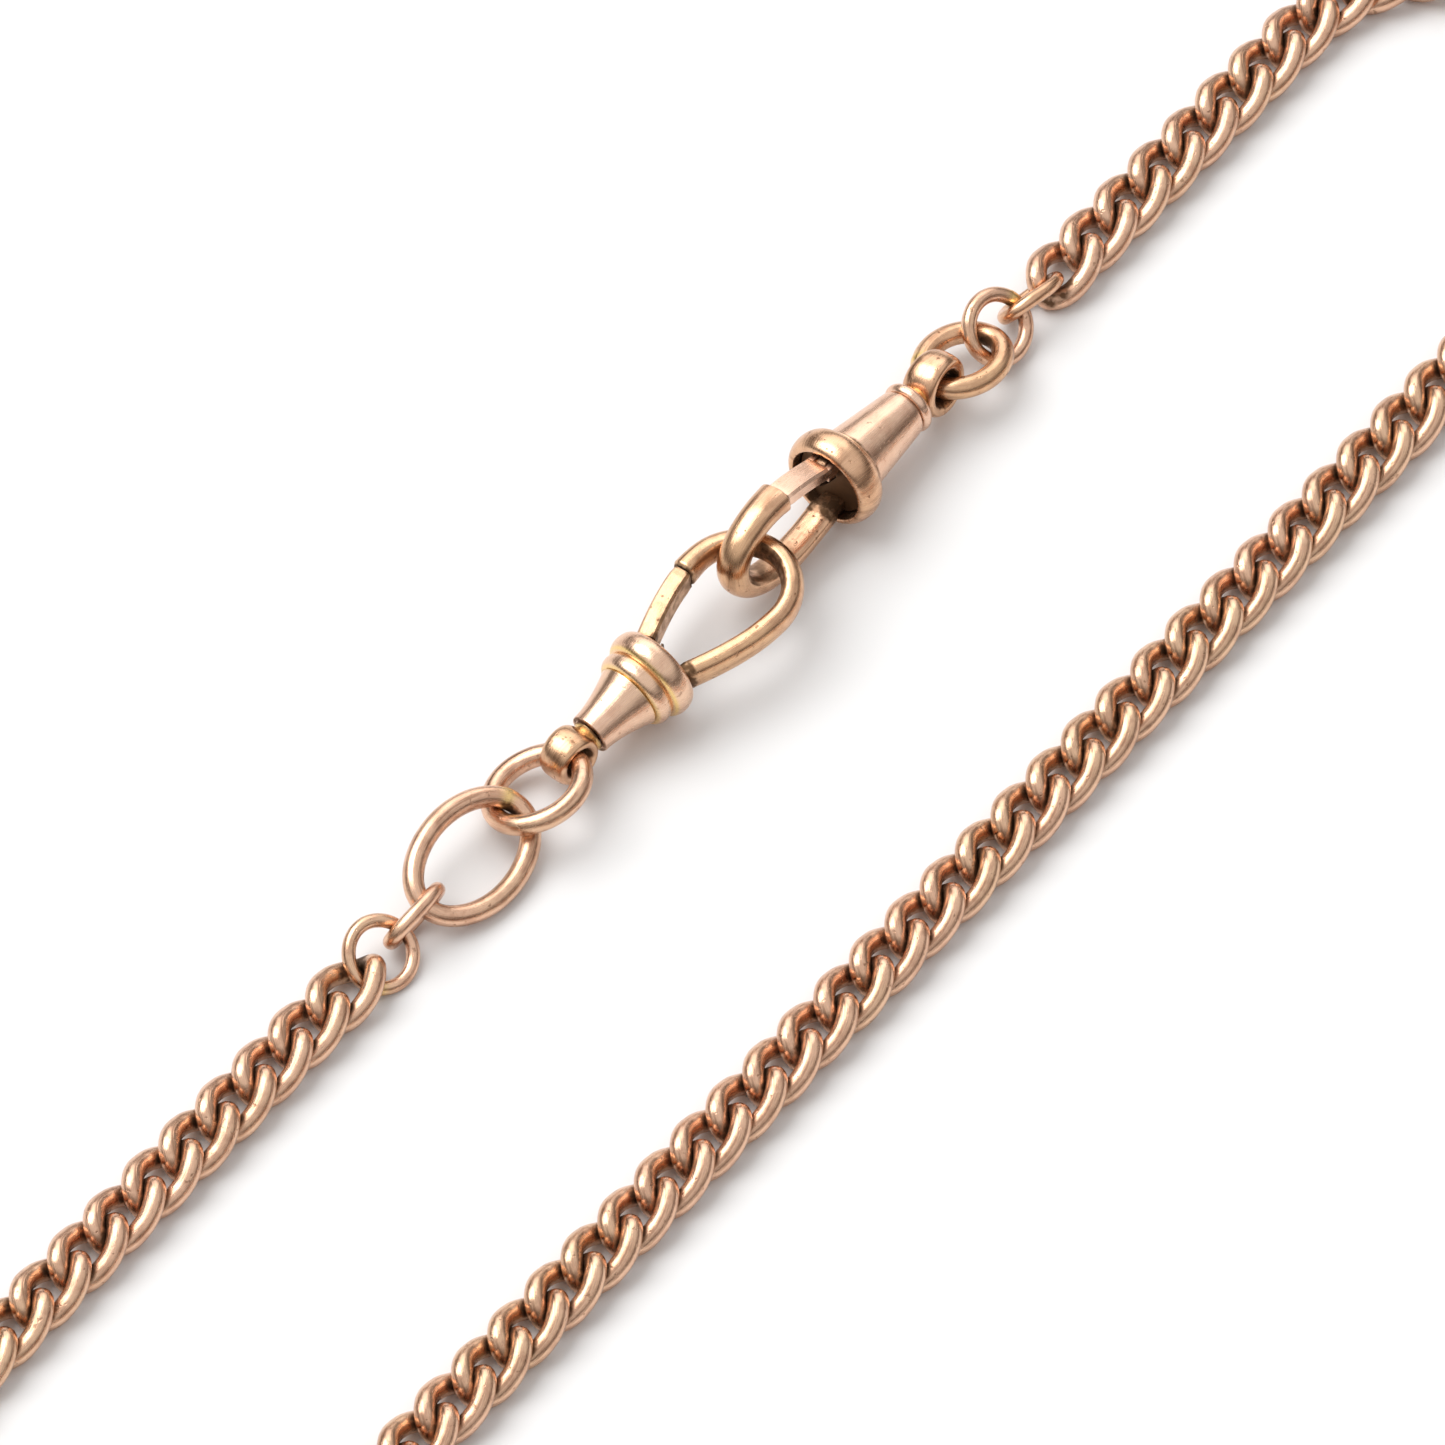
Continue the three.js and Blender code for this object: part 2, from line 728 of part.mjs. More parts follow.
// The origin goes to the middle of the footprint, on the table.
chain.updateMatrixWorld(true);
const box = new THREE.Box3().setFromObject(chain, true);
const shift = new THREE.Vector3(
  -(box.min.x + box.max.x) / 2,
  -(box.min.y + box.max.y) / 2,
  -box.min.z,
);
chain.position.copy(shift);
joints.forEach((joint) => joint.pivot.add(shift));

export default chain;
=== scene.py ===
"""A rose-gold watch chain, its two swivel clips hooked into each other, on a pale table.

Sizes in the classes below are millimetres and degrees; meshes are in metres. +X runs along
the strand that carries the clips, +Y points from the plain strand to it, and +Z is up.
"""

import logging
import math
from collections.abc import Callable
from dataclasses import dataclass, field
from enum import Enum

import bpy
import numpy as np
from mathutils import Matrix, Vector


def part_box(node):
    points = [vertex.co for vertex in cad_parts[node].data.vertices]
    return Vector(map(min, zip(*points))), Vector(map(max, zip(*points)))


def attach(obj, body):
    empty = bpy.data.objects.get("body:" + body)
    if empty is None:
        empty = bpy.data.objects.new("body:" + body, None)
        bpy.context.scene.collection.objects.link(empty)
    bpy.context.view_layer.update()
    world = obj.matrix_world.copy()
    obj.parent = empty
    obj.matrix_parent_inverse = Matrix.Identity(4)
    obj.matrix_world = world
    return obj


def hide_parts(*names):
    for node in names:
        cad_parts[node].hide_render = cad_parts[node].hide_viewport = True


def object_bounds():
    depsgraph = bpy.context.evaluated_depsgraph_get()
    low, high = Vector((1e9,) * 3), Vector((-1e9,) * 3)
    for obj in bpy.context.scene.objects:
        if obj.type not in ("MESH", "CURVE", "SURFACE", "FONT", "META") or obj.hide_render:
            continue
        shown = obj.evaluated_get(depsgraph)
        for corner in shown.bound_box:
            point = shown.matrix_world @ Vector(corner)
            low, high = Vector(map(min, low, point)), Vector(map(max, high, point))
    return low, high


LOG = logging.getLogger("watch_chain")
MM = 0.001
TAU = 2 * math.pi
Array = np.ndarray

# Sizes that both clips share, in millimetres.
RUNNING_GAP = 0.1  # between pieces that turn on each other
SEAT_GAP = 0.15  # between pieces that are pressed together
ROOT_DEPTH = 0.2  # how far the legs sink into the plate
PIN_RADIUS = 0.3
EAR_RIM = 0.22  # metal round the pin's hole
TONGUE_WIDTH = 0.75  # of the ear that the gate straddles
TAIL_REACH = 0.45  # of the gate, behind its pin's middle
SPRING_THICKNESS = 0.22
SPRING_ROOT = 1.35  # inwards of the gate, at the plate
SPRING_REACH = 1.1  # where the leaf meets the gate, ahead of the mouth
TENON_ROWS = 8  # steps along the sunk end of the fixed leg
TENON_SHARE = 0.84  # the tenon's thickness, as a share of the leg's

# Colours of what lies on the gold, and of the painted shade and painted dark reflections on it.
SOLDER = (0.93, 0.66, 0.24, 1)
# Painted dark reflection, laid in broad streaks along the wire:
DARK_REFLECTION = (0.30, 0.15, 0.085, 1)
SPECK = (0.23, 0.10, 0.045, 1)
# Painted shade in crevices, insides and recesses, also used for dark seams and tarnished patches:
SHADE_AND_TARNISH = (0.11, 0.058, 0.028, 1)

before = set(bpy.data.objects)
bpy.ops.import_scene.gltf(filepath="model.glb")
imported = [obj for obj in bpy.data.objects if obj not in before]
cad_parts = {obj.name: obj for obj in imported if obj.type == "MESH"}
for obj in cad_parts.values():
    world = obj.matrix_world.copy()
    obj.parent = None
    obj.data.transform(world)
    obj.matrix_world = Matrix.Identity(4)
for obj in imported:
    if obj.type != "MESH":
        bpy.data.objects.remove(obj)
CAD_BOX = [list(corner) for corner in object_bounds()]


# ---------------------------------------------------------------- placing


def move(x: float, y: float, z: float) -> Array:
    """A 4x4 matrix that shifts by x, y and z."""
    matrix = np.eye(4)
    matrix[:3, 3] = (x, y, z)
    return matrix


def turn(axis: int, degrees: float) -> Array:
    """A 4x4 matrix that turns about one axis.

    Args:
        axis: 0, 1 or 2 for x, y or z.
        degrees: The angle, by the right-hand rule.

    Returns:
        The matrix.
    """
    c, s = math.cos(math.radians(degrees)), math.sin(math.radians(degrees))
    a, b = [(1, 2), (2, 0), (0, 1)][axis]
    matrix = np.eye(4)
    matrix[a, a] = matrix[b, b] = c
    matrix[b, a], matrix[a, b] = s, -s
    return matrix


def box_centre(node: str) -> Array:
    """The middle of a CAD node's box, in millimetres."""
    low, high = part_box(node)
    return (np.array(low) + np.array(high)) / 2 / MM


def smooth(value: Array, low: float, high: float) -> Array:
    """A step from 0 at low to 1 at high that starts and ends level (3t^2 - 2t^3)."""
    t = np.clip((value - low) / (high - low), 0, 1)
    return t * t * (3 - 2 * t)


def hump(value: Array, centre: float, width: float) -> Array:
    """A bell that is 1 at centre and falls off over width (a Gaussian)."""
    return np.exp(-(((value - centre) / width) ** 2))


# ---------------------------------------------------------------- surfaces


@dataclass
class Skin:
    """A closed surface on a grid of points: rows along it, columns round it.

    Attributes:
        points: rows x columns x 3, in the piece's own frame, in millimetres.
        ring: True where the last row meets the first; otherwise each end gets a flat cap.
        shade_and_grime: 0 to 1 at each point, how dark with painted shade and dark seams it is.
        gilt: 0 to 1 at each point, how yellow with solder it is.
    """

    points: Array
    ring: bool
    shade_and_grime: Array | None = None
    gilt: Array | None = None

    def faces(self) -> tuple[Array, Array]:
        """The quads' vertex indices, and the texture places of their corners.

        A texture place is the distance along the rows and round the columns, in
        millimetres, measured on the grid.

        Returns:
            (quads x 4 vertex indices, quads x 4 x 2 texture places).
        """
        rows, columns = self.points.shape[:2]
        closed = np.concatenate([self.points, self.points[:1]]) if self.ring else self.points
        along = np.linalg.norm(np.diff(closed, axis=0), axis=2).mean(axis=1)
        around = np.concatenate([self.points, self.points[:, :1]], axis=1)
        around = np.linalg.norm(np.diff(around, axis=1), axis=2).mean(axis=0)
        u = np.concatenate([[0], np.cumsum(along)])
        v = np.concatenate([[0], np.cumsum(around)])
        i, j = np.meshgrid(np.arange(len(along)), np.arange(columns), indexing="ij")
        i, j = i.ravel(), j.ravel()
        corners = [(i, j), (i + 1, j), (i + 1, j + 1), (i, j + 1)]
        quads = np.stack([(a % rows) * columns + b % columns for a, b in corners], axis=1)
        places = np.stack([np.stack([u[a], v[b]], axis=1) for a, b in corners], axis=1)
        return quads, places

    def faces_in(self, quads: Array) -> bool:
        """Whether the quads point inwards, from the sign of the volume they enclose."""
        flat = self.points.reshape(-1, 3) - self.points.reshape(-1, 3).mean(axis=0)
        p = flat[quads]
        cross = np.cross(p[:, 2] - p[:, 0], p[:, 3] - p[:, 1])
        return float(np.einsum("ij,ij->", p.mean(axis=1), cross)) < 0


def make_piece(name: str, skins: list[Skin], place: Array, sharp: float = 50) -> bpy.types.Object:
    """A Blender object made of closed skins.

    Args:
        name: The object's name.
        skins: Its surfaces, in its own frame, in millimetres.
        place: The 4x4 matrix from that frame to the chain's.
        sharp: Edges that turn by more degrees than this are shaded hard.

    Returns:
        The object, at the origin, with its place in its mesh.
    """
    points, polygons, places, shade_and_grime, gilt = [], [], [], [], []
    first = 0
    for skin in skins:
        rows, columns = skin.points.shape[:2]
        quads, uv = skin.faces()
        inwards = skin.faces_in(quads)
        if inwards:
            quads, uv = quads[:, ::-1], uv[:, ::-1]
        polygons += (quads + first).tolist()
        places.append(uv.reshape(-1, 2))
        if not skin.ring:
            start = np.arange(columns) + first
            end = start + (rows - 1) * columns
            ends = [start[::-1], end]
            polygons += [(ring[::-1] if inwards else ring).tolist() for ring in ends]
            places.append(np.zeros((2 * columns, 2)))
        points.append(skin.points.reshape(-1, 3))
        blank = np.zeros(rows * columns)
        shade_and_grime.append(blank if skin.shade_and_grime is None else skin.shade_and_grime.ravel())
        gilt.append(blank if skin.gilt is None else skin.gilt.ravel())
        first += rows * columns
    local = np.concatenate(points)
    world = (local @ place[:3, :3].T + place[:3, 3]) * MM
    mesh = bpy.data.meshes.new(name)
    mesh.from_pydata(world.tolist(), [], polygons)
    mesh.uv_layers.new(name="UVMap").data.foreach_set("uv", np.concatenate(places).ravel())
    # The first attribute is painted shade with dark seams and tarnished patches; the second is
    # solder.
    for label, values in (("shade_and_grime", shade_and_grime), ("gilt", gilt)):
        layer = mesh.attributes.new(label, "FLOAT", "POINT")
        layer.data.foreach_set("value", np.concatenate(values).astype(np.float32))
    mesh.shade_smooth()
    mesh.set_sharp_from_angle(angle=math.radians(sharp))
    mesh.validate()
    piece = bpy.data.objects.new(name, mesh)
    bpy.context.scene.collection.objects.link(piece)
    return piece


def unit(vectors: Array) -> Array:
    """The vectors at length 1."""
    return vectors / np.linalg.norm(vectors, axis=-1, keepdims=True)


def round_section(columns: int, across: float, up: float, power: float = 2.0) -> Array:
    """A superellipse |x/a|^p + |y/b|^p = 1, as [side, up] points.

    Args:
        columns: How many points go round it.
        across: Its full width.
        up: Its full height.
        power: 2 is an ellipse; more is squarer.

    Returns:
        columns x 2 points, counterclockwise.
    """
    angle = (np.arange(columns) + 0.5) / columns * TAU
    c, s = np.cos(angle), np.sin(angle)
    x = np.sign(c) * np.abs(c) ** (2 / power) * across / 2
    y = np.sign(s) * np.abs(s) ** (2 / power) * up / 2
    return np.stack([x, y], axis=1)


def sweep(path: Array, side: Array, up: Array, section: Array) -> Array:
    """Carries a section along a path: point = path + x side + y up.

    Args:
        path: rows x 3 points.
        side: rows x 3 unit vectors across the path.
        up: rows x 3 unit vectors across both.
        section: columns x 2, or rows x columns x 2, the section's [side, up] points.

    Returns:
        rows x columns x 3 points.
    """
    if section.ndim == 2:
        section = np.broadcast_to(section, (len(path),) + section.shape)
    x, y = section[..., 0:1], section[..., 1:2]
    return path[:, None] + x * side[:, None] + y * up[:, None]


def lathe(profile: Array, columns: int) -> Array:
    """Turns a profile round the x axis: (x, r) becomes (x, r cos a, r sin a).

    Args:
        profile: rows x 2 points of x and radius.
        columns: How many steps go round.

    Returns:
        rows x columns x 3 points.
    """
    angle = np.arange(columns) / columns * TAU
    x = np.repeat(profile[:, :1], columns, axis=1)
    return np.stack([x, profile[:, 1:] * np.cos(angle), profile[:, 1:] * np.sin(angle)], axis=2)


def fine(profile: list[tuple[float, float]], step: float = 0.07) -> Array:
    """A polyline with points every step or less, corners kept.

    Args:
        profile: Its corner points.
        step: The longest distance between points.

    Returns:
        The points.
    """
    corners = np.array(profile, float)
    parts = [corners[:1]]
    for a, b in zip(corners[:-1], corners[1:]):
        count = max(1, math.ceil(float(np.linalg.norm(b - a)) / step))
        parts.append(a + (b - a) * (np.arange(1, count + 1) / count)[:, None])
    return np.concatenate(parts)


def rounded(profile: list[tuple[float, float]], radius: float) -> Array:
    """A closed or open profile with its corners softened by averaging along its length.

    Each point moves to the mean of its neighbours within the radius, with ends kept.

    Args:
        profile: The corner points.
        radius: About how large the rounding is.

    Returns:
        The points.
    """
    points = fine(profile, 0.05)
    reach = max(1, round(radius / 0.05))
    padded = np.concatenate([points[:1]] * reach + [points] + [points[-1:]] * reach)
    kernel = np.hanning(2 * reach + 3)[1:-1]
    kernel /= kernel.sum()
    soft = np.stack([np.convolve(padded[:, k], kernel, "valid") for k in range(2)], axis=1)
    soft[0], soft[-1] = points[0], points[-1]
    return soft


# ---------------------------------------------------------------- finishes


class Graph:
    """A material's node tree, with short ways to add and join nodes."""

    def __init__(self, name: str) -> None:
        """Starts a material with only its output."""
        self.material = bpy.data.materials.new(name)
        self.material.use_nodes = True
        self.tree = self.material.node_tree
        self.tree.nodes.clear()
        self.output = self.tree.nodes.new("ShaderNodeOutputMaterial")

    def add(self, kind: str, sockets: dict[str | int, object] | None = None,
            **settings: object) -> bpy.types.Node:
        """Adds a node.

        Args:
            kind: Its type, without the leading ShaderNode.
            sockets: For each input, a value or the output socket that feeds it.
            **settings: The node's own properties.

        Returns:
            The node.
        """
        node = self.tree.nodes.new("ShaderNode" + kind)
        for key, value in settings.items():
            setattr(node, key, value)
        for key, value in (sockets or {}).items():
            if isinstance(value, bpy.types.NodeSocket):
                self.tree.links.new(value, node.inputs[key])
            else:
                node.inputs[key].default_value = value
        return node

    def noise(self, place: bpy.types.NodeSocket, scale: float, detail: float = 3,
              rough: float = 0.55) -> bpy.types.NodeSocket:
        """A noise pattern's value, 0 to 1, at a place."""
        return self.add("TexNoise", {"Vector": place, "Scale": scale, "Detail": detail,
                                     "Roughness": rough}).outputs["Fac"]

    def ramp(self, value: bpy.types.NodeSocket, low: float, high: float,
             start: float = 0, end: float = 1) -> bpy.types.NodeSocket:
        """Maps low..high to start..end smoothly."""
        node = self.add("MapRange", {"Value": value, "From Min": low, "From Max": high,
                                     "To Min": start, "To Max": end},
                        interpolation_type="SMOOTHSTEP")
        return node.outputs["Result"]

    def sum(self, a: object, b: object, operation: str = "ADD") -> bpy.types.NodeSocket:
        """The sum, or another operation, of two values."""
        return self.add("Math", {0: a, 1: b}, operation=operation).outputs[0]

    def mix(self, share: object, a: object, b: object) -> bpy.types.NodeSocket:
        """Colour a, with a share of colour b."""
        node = self.add("Mix", {0: share, 6: a, 7: b}, data_type="RGBA")
        return node.outputs[2]


@dataclass(frozen=True)
class Gold:
    """A worn gold alloy: mottled, finely scratched along the wire, with painted shade in its
    crevices and painted dark reflections in streaks along it.

    Attributes:
        name: The material's name.
        slot: The record's material slot that it is.
        light: Colour of the rubbed metal.
        deep: Colour of the mottling.
        warm: Colour of the larger cloudy patches.
        roughness: Of the rubbed metal.
        freckles: Share of small dark specks, 0 to 1.
        scratches: Strength of the fine lines along the piece.
        reflection_streaks: Share of the broad brown streaks painted along the piece as dark
            reflections.
        shade_and_grime: How strongly the painted crevice shade and the dark seams darken.
    """

    name: str
    slot: str
    light: tuple[float, float, float]
    deep: tuple[float, float, float]
    warm: tuple[float, float, float]
    roughness: float = 0.22
    freckles: float = 0.4
    scratches: float = 0.5
    reflection_streaks: float = 0.0
    shade_and_grime: float = 1.0

    def build(self) -> bpy.types.Material:
        """Makes the material.

        Returns:
            A material of one shader, with noise on Object coordinates for mottling, clouds,
            specks and dents, noise on the piece's own UV map for lines along the wire and for
            the painted dark reflection streaks, and the attributes shade_and_grime and gilt for
            painted shade with dark seams and tarnished patches, and for solder.
        """
        g = Graph(self.name)
        coords = g.add("TexCoord")
        place = coords.outputs["Object"]
        drawn = g.add("Mapping", {"Vector": coords.outputs["UV"], "Scale": (0.35, 7.0, 1.0)})
        lines = g.noise(drawn.outputs[0], 1.0, 5, 0.7)
        broad = g.add("Mapping", {"Vector": coords.outputs["UV"], "Scale": (0.16, 1.5, 1.0)})
        # Broad streaks along the piece, where the colour paints dark reflections.
        reflection_streaks = g.ramp(g.noise(broad.outputs[0], 1.0, 4, 0.6), 0.50, 0.66)
        clouds = g.ramp(g.noise(place, 95, 2), 0.42, 0.62)
        mottle = g.ramp(g.noise(place, 720, 4, 0.62), 0.42, 0.70)
        specks = g.ramp(g.noise(place, 2300, 2, 0.5), 0.66, 0.74)
        dents = g.noise(place, 420, 2)
        shade_and_grime = g.add("Attribute", attribute_name="shade_and_grime").outputs["Fac"]
        gilt = g.add("Attribute", attribute_name="gilt").outputs["Fac"]
        patchy = g.ramp(g.noise(place, 1300, 3), 0.3, 0.7, 0.45, 1.25)
        # Painted shade mask, with dark seams and tarnished patches, broken up by patchy noise.
        shade_and_dirt = g.ramp(g.sum(g.sum(shade_and_grime, patchy, "MULTIPLY"), self.shade_and_grime, "MULTIPLY"), 0.12, 0.95)
        colour = g.mix(clouds, (*self.light, 1), (*self.warm, 1))
        colour = g.mix(g.sum(mottle, 0.75, "MULTIPLY"), colour, (*self.deep, 1))
        # Painted dark reflections in broad streaks along the piece.
        colour = g.mix(g.sum(reflection_streaks, self.reflection_streaks, "MULTIPLY"), colour, DARK_REFLECTION)
        colour = g.mix(gilt, colour, SOLDER)
        colour = g.mix(g.sum(specks, self.freckles, "MULTIPLY"), colour, SPECK)
        # Darkens the colour with the painted shade, the dark seams and the tarnished patches.
        colour = g.mix(g.sum(shade_and_dirt, 0.93, "MULTIPLY"), colour, SHADE_AND_TARNISH)
        worn = g.ramp(lines, 0.35, 0.8, self.roughness - 0.05, self.roughness + 0.13)
        rough = g.sum(worn, g.sum(shade_and_dirt, 0.35, "MULTIPLY"))
        rough = g.sum(rough, g.sum(specks, 0.12, "MULTIPLY"))
        height = g.sum(g.sum(lines, self.scratches, "MULTIPLY"), dents)
        height = g.sum(height, g.sum(specks, -0.5, "MULTIPLY"))
        bump = g.add("Bump", {"Height": height, "Strength": 0.55, "Distance": 0.00006})
        shader = g.add("BsdfPrincipled", {"Base Color": colour, "Metallic": 1.0,
                                          "Roughness": rough, "Normal": bump.outputs[0]})
        g.tree.links.new(shader.outputs[0], g.output.inputs[0])
        return g.material


@dataclass(frozen=True)
class Finish:
    """A finish that is ready to put on pieces."""

    material: bpy.types.Material
    slot: str

    def dress(self, piece: bpy.types.Object) -> None:
        """Puts the finish on a piece."""
        piece.data.materials.clear()
        piece.data.materials.append(self.material)


def finish(gold: Gold) -> Finish:
    """Builds a gold's material once, as a finish."""
    return Finish(gold.build(), gold.slot)


ROSE = Gold("rose_gold_wire", "rose_gold", (0.85, 0.54, 0.375), (0.62, 0.355, 0.235),
            (0.83, 0.545, 0.36), roughness=0.23, freckles=0.5, scratches=0.7, reflection_streaks=0.6)
PEACH = Gold("peach_gold_barrel", "clip_gold", (0.90, 0.60, 0.44), (0.78, 0.48, 0.335),
             (0.88, 0.595, 0.42), roughness=0.26, freckles=0.25, scratches=0.3, reflection_streaks=0.12)
BRASSY = Gold("brassy_gold", "worn_gold", (0.80, 0.49, 0.31), (0.57, 0.32, 0.19),
              (0.76, 0.475, 0.28), roughness=0.25, freckles=0.7, scratches=0.35, reflection_streaks=0.45)
DULL = Gold("dull_gold_pin", "pin_gold", (0.55, 0.31, 0.18), (0.38, 0.2, 0.11),
            (0.5, 0.3, 0.17), roughness=0.36, freckles=0.8, scratches=0.3)
LEAF = Gold("browned_spring_leaf", "spring_steel", (0.13, 0.08, 0.05), (0.07, 0.04, 0.025),
            (0.11, 0.07, 0.045), roughness=0.42, freckles=0.5, scratches=0.6)


# ---------------------------------------------------------------- route


class Way(Enum):
    """Which way a run of links goes from the clips."""

    UPPER = 1
    LOWER = -1


@dataclass
class Loop:
    """The route of the chain: two straights joined by half circles.

    Attributes:
        spacing: Between the two strands.
        hook_offset: Of the hooked tips, from the middle of the clip strand.
        length: All the way round.
        origin: Added to every place on the route.
    """

    length: float
    spacing: float = 27.8
    hook_offset: float = 10.2
    origin: Array = field(default_factory=lambda: np.zeros(3))

    @property
    def turn_radius(self) -> float:
        """Radius of the two bends."""
        return self.spacing / 2

    @property
    def straight(self) -> float:
        """Length of each straight."""
        return (self.length - TAU * self.turn_radius) / 2

    def frame(self, distance: float, height: float) -> Array:
        """The frame at a distance along the route, x ahead and z up.

        Args:
            distance: From the hooked tips, towards the upper clip.
            height: Above the middle of the route's own zero.

        Returns:
            A 4x4 matrix, in millimetres.
        """
        ahead = distance + self.hook_offset
        s = ahead - self.length * round(ahead / self.length)
        r, half, side = self.turn_radius, self.straight / 2, 1 if s >= 0 else -1
        beyond = abs(s) - half
        x, y, heading = s, r, 0.0
        if beyond > math.pi * r:
            x, y, heading = side * (half - (beyond - math.pi * r)), -r, side * 180.0
        elif beyond > 0:
            angle = beyond / r
            x, y = side * (half + r * math.sin(angle)), r * math.cos(angle)
            heading = side * math.degrees(angle)
        return move(*(self.origin + (x, y, height))) @ turn(2, -heading)


# ---------------------------------------------------------------- links and rings


@dataclass
class Wire:
    """A closed oval of round wire whose plane turns from end to end.

    The centre line is x = L c|c|^(p-1), w = W s|s|^(q-1), leaning by twist * c about x,
    where c and s are the cosine and sine of an angle that goes once round.

    Attributes:
        half_length: Of the centre line.
        half_width: Of the centre line.
        wire: Diameter.
        twist: Lean of the ends, in degrees.
        end_power: p; less than 1 is blunter at the ends.
        side_power: q; less than 1 has straighter sides.
        rows: Steps along the wire.
        columns: Steps round the wire.
    """

    half_length: float
    half_width: float
    wire: float
    twist: float = 0.0
    end_power: float = 1.0
    side_power: float = 1.0
    rows: int = 72
    columns: int = 20

    def centre_line(self) -> tuple[Array, Array]:
        """The centre line's points, and the angle of each."""
        angle = np.arange(self.rows) / self.rows * TAU
        c, s = np.cos(angle), np.sin(angle)
        x = self.half_length * np.sign(c) * np.abs(c) ** self.end_power
        w = self.half_width * np.sign(s) * np.abs(s) ** self.side_power
        lean = math.radians(self.twist) * c
        return np.stack([x, w * np.cos(lean), w * np.sin(lean)], axis=1), angle

    def even_line(self) -> Array:
        """The centre line again, with its points spaced evenly along it."""
        dense = Wire(self.half_length, self.half_width, self.wire, self.twist,
                     self.end_power, self.side_power, 720, 4)
        line, _ = dense.centre_line()
        closed = np.concatenate([line, line[:1]])
        reach = np.concatenate([[0], np.cumsum(np.linalg.norm(np.diff(closed, axis=0), axis=1))])
        at = np.arange(self.rows) / self.rows * reach[-1]
        return np.stack([np.interp(at, reach, closed[:, k]) for k in range(3)], axis=1)

    def skin(self, wobble: float = 0.0, seed: int = 0, flats: float = 0.0) -> Skin:
        """The wire's surface.

        Args:
            wobble: How far the wire strays from a true shape, in millimetres.
            seed: Of the wobble.
            flats: How much the inside of each end is worn flat, in millimetres.

        Returns:
            The surface, with shade painted where it faces its neighbours.
        """
        rng = np.random.default_rng(seed)
        line = self.even_line()
        t = np.arange(self.rows) / self.rows * TAU
        waves = rng.normal(size=(3, 3)) * wobble / 2
        phases = rng.uniform(0, TAU, (3, 3))
        k = np.arange(1, 4)[:, None, None]
        line = line + (waves[..., None] * np.sin(k * t + phases[..., None])).sum(axis=0).T
        tangent = unit(np.roll(line, -1, axis=0) - np.roll(line, 1, axis=0))
        radial = line - (line * tangent).sum(axis=1, keepdims=True) * tangent
        outward = unit(radial)
        up = np.cross(tangent, outward)
        angle = np.arange(self.columns) / self.columns * TAU
        circle = np.stack([np.cos(angle), np.sin(angle)], axis=1) * self.wire / 2
        section = np.broadcast_to(circle, (self.rows, self.columns, 2)).copy()
        end = smooth(np.abs(line[:, 0]) / self.half_length, 0.72, 1.0)[:, None]
        inside = smooth(-np.cos(angle), 0.4, 1.0)[None]
        section[..., 0] += flats * end * inside
        points = sweep(line, outward, up, section)
        return Skin(points, ring=True, shade_and_grime=self.contact_shade(points, end, inside))

    def contact_shade(self, points: Array, end: Array, inside: Array) -> Array:
        """Painted shade on the wire, most on the inside and at the ends."""
        inner = smooth(np.broadcast_to(inside, points.shape[:2]), 0.0, 0.9)
        return np.clip(0.30 * inner + 0.75 * end * inner, 0, 1)


@dataclass
class CurbWire(Wire):
    """A curb link's wire, with shade painted where the next links nest in it."""

    pitch: float = 4.0

    def contact_shade(self, points: Array, end: Array, inside: Array) -> Array:
        """Painted shade at each point, from its distance to the two neighbours' wires."""
        line = self.even_line()
        flat = points.reshape(-1, 3)
        near = np.full(len(flat), np.inf)
        for shift in (-self.pitch, self.pitch):
            other = line + (shift, 0, 0)
            gap = np.linalg.norm(flat[:, None] - other[None], axis=2).min(axis=1)
            near = np.minimum(near, gap - self.wire / 2)
        # Painted shade: darkest where the neighbouring wires come close.
        dark = 1 - smooth(near, 0.02, 0.62)
        return dark.reshape(points.shape[:2])


@dataclass
class Ring:
    """A plain ring or link between a clip's eye and the curb links.

    Attributes:
        name: Of its CAD node and body.
        half_length: Of the wire's centre line.
        half_width: Of the wire's centre line.
        wire: Diameter.
        roll: About the strand, in degrees.
        join: Height of the crossing with the piece before.
        gold: Its finish.
        solder: Where its seam is, in turns from its far end, or None.
        fuller: How much thicker its wire is than the CAD's.
    """

    name: str
    half_length: float
    half_width: float
    wire: float
    roll: float
    join: float
    gold: Gold = ROSE
    solder: float | None = None
    fuller: float = 0.0

    def build(self, place: Array, finishes: dict[str, Finish], seed: int) -> None:
        """Makes the ring and puts it in place of its CAD node.

        Args:
            place: Its frame.
            finishes: The finishes by gold name.
            seed: Of its small bends.
        """
        thick = self.wire + self.fuller
        wire = Wire(self.half_length, self.half_width, thick, rows=112, columns=28)
        skin = wire.skin(wobble=0.035, seed=seed, flats=0.05)
        if self.solder is not None:
            self.add_solder(skin)
        piece = make_piece(self.name + "_wire", [skin], place)
        finishes[self.gold.name].dress(piece)
        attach(piece, self.name)
        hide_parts(self.name)
        LOG.info("%s: %d faces", piece.name, len(piece.data.polygons))

    def add_solder(self, skin: Skin) -> None:
        """Swells the wire a little at its soldered seam and yellows it."""
        rows = len(skin.points)
        t = np.arange(rows) / rows
        away = np.abs((t - self.solder + 0.5) % 1 - 0.5) * TAU * self.half_length
        seam = hump(away, 0.0, 0.55)[:, None]
        centre = skin.points.mean(axis=1, keepdims=True)
        rng = np.random.default_rng(5)
        lumps = rng.normal(size=skin.points.shape[:2])
        lumps = (lumps + np.roll(lumps, 1, 0) + np.roll(lumps, 1, 1)) / 3
        swell = 1 + (0.05 + 0.03 * lumps) * seam
        skin.points = centre + (skin.points - centre) * swell[..., None]
        skin.gilt = np.broadcast_to(0.75 * seam, skin.points.shape[:2]).copy()
        skin.shade_and_grime = np.clip(skin.shade_and_grime + 0.35 * hump(away, 0.35, 0.16)[:, None], 0, 1)


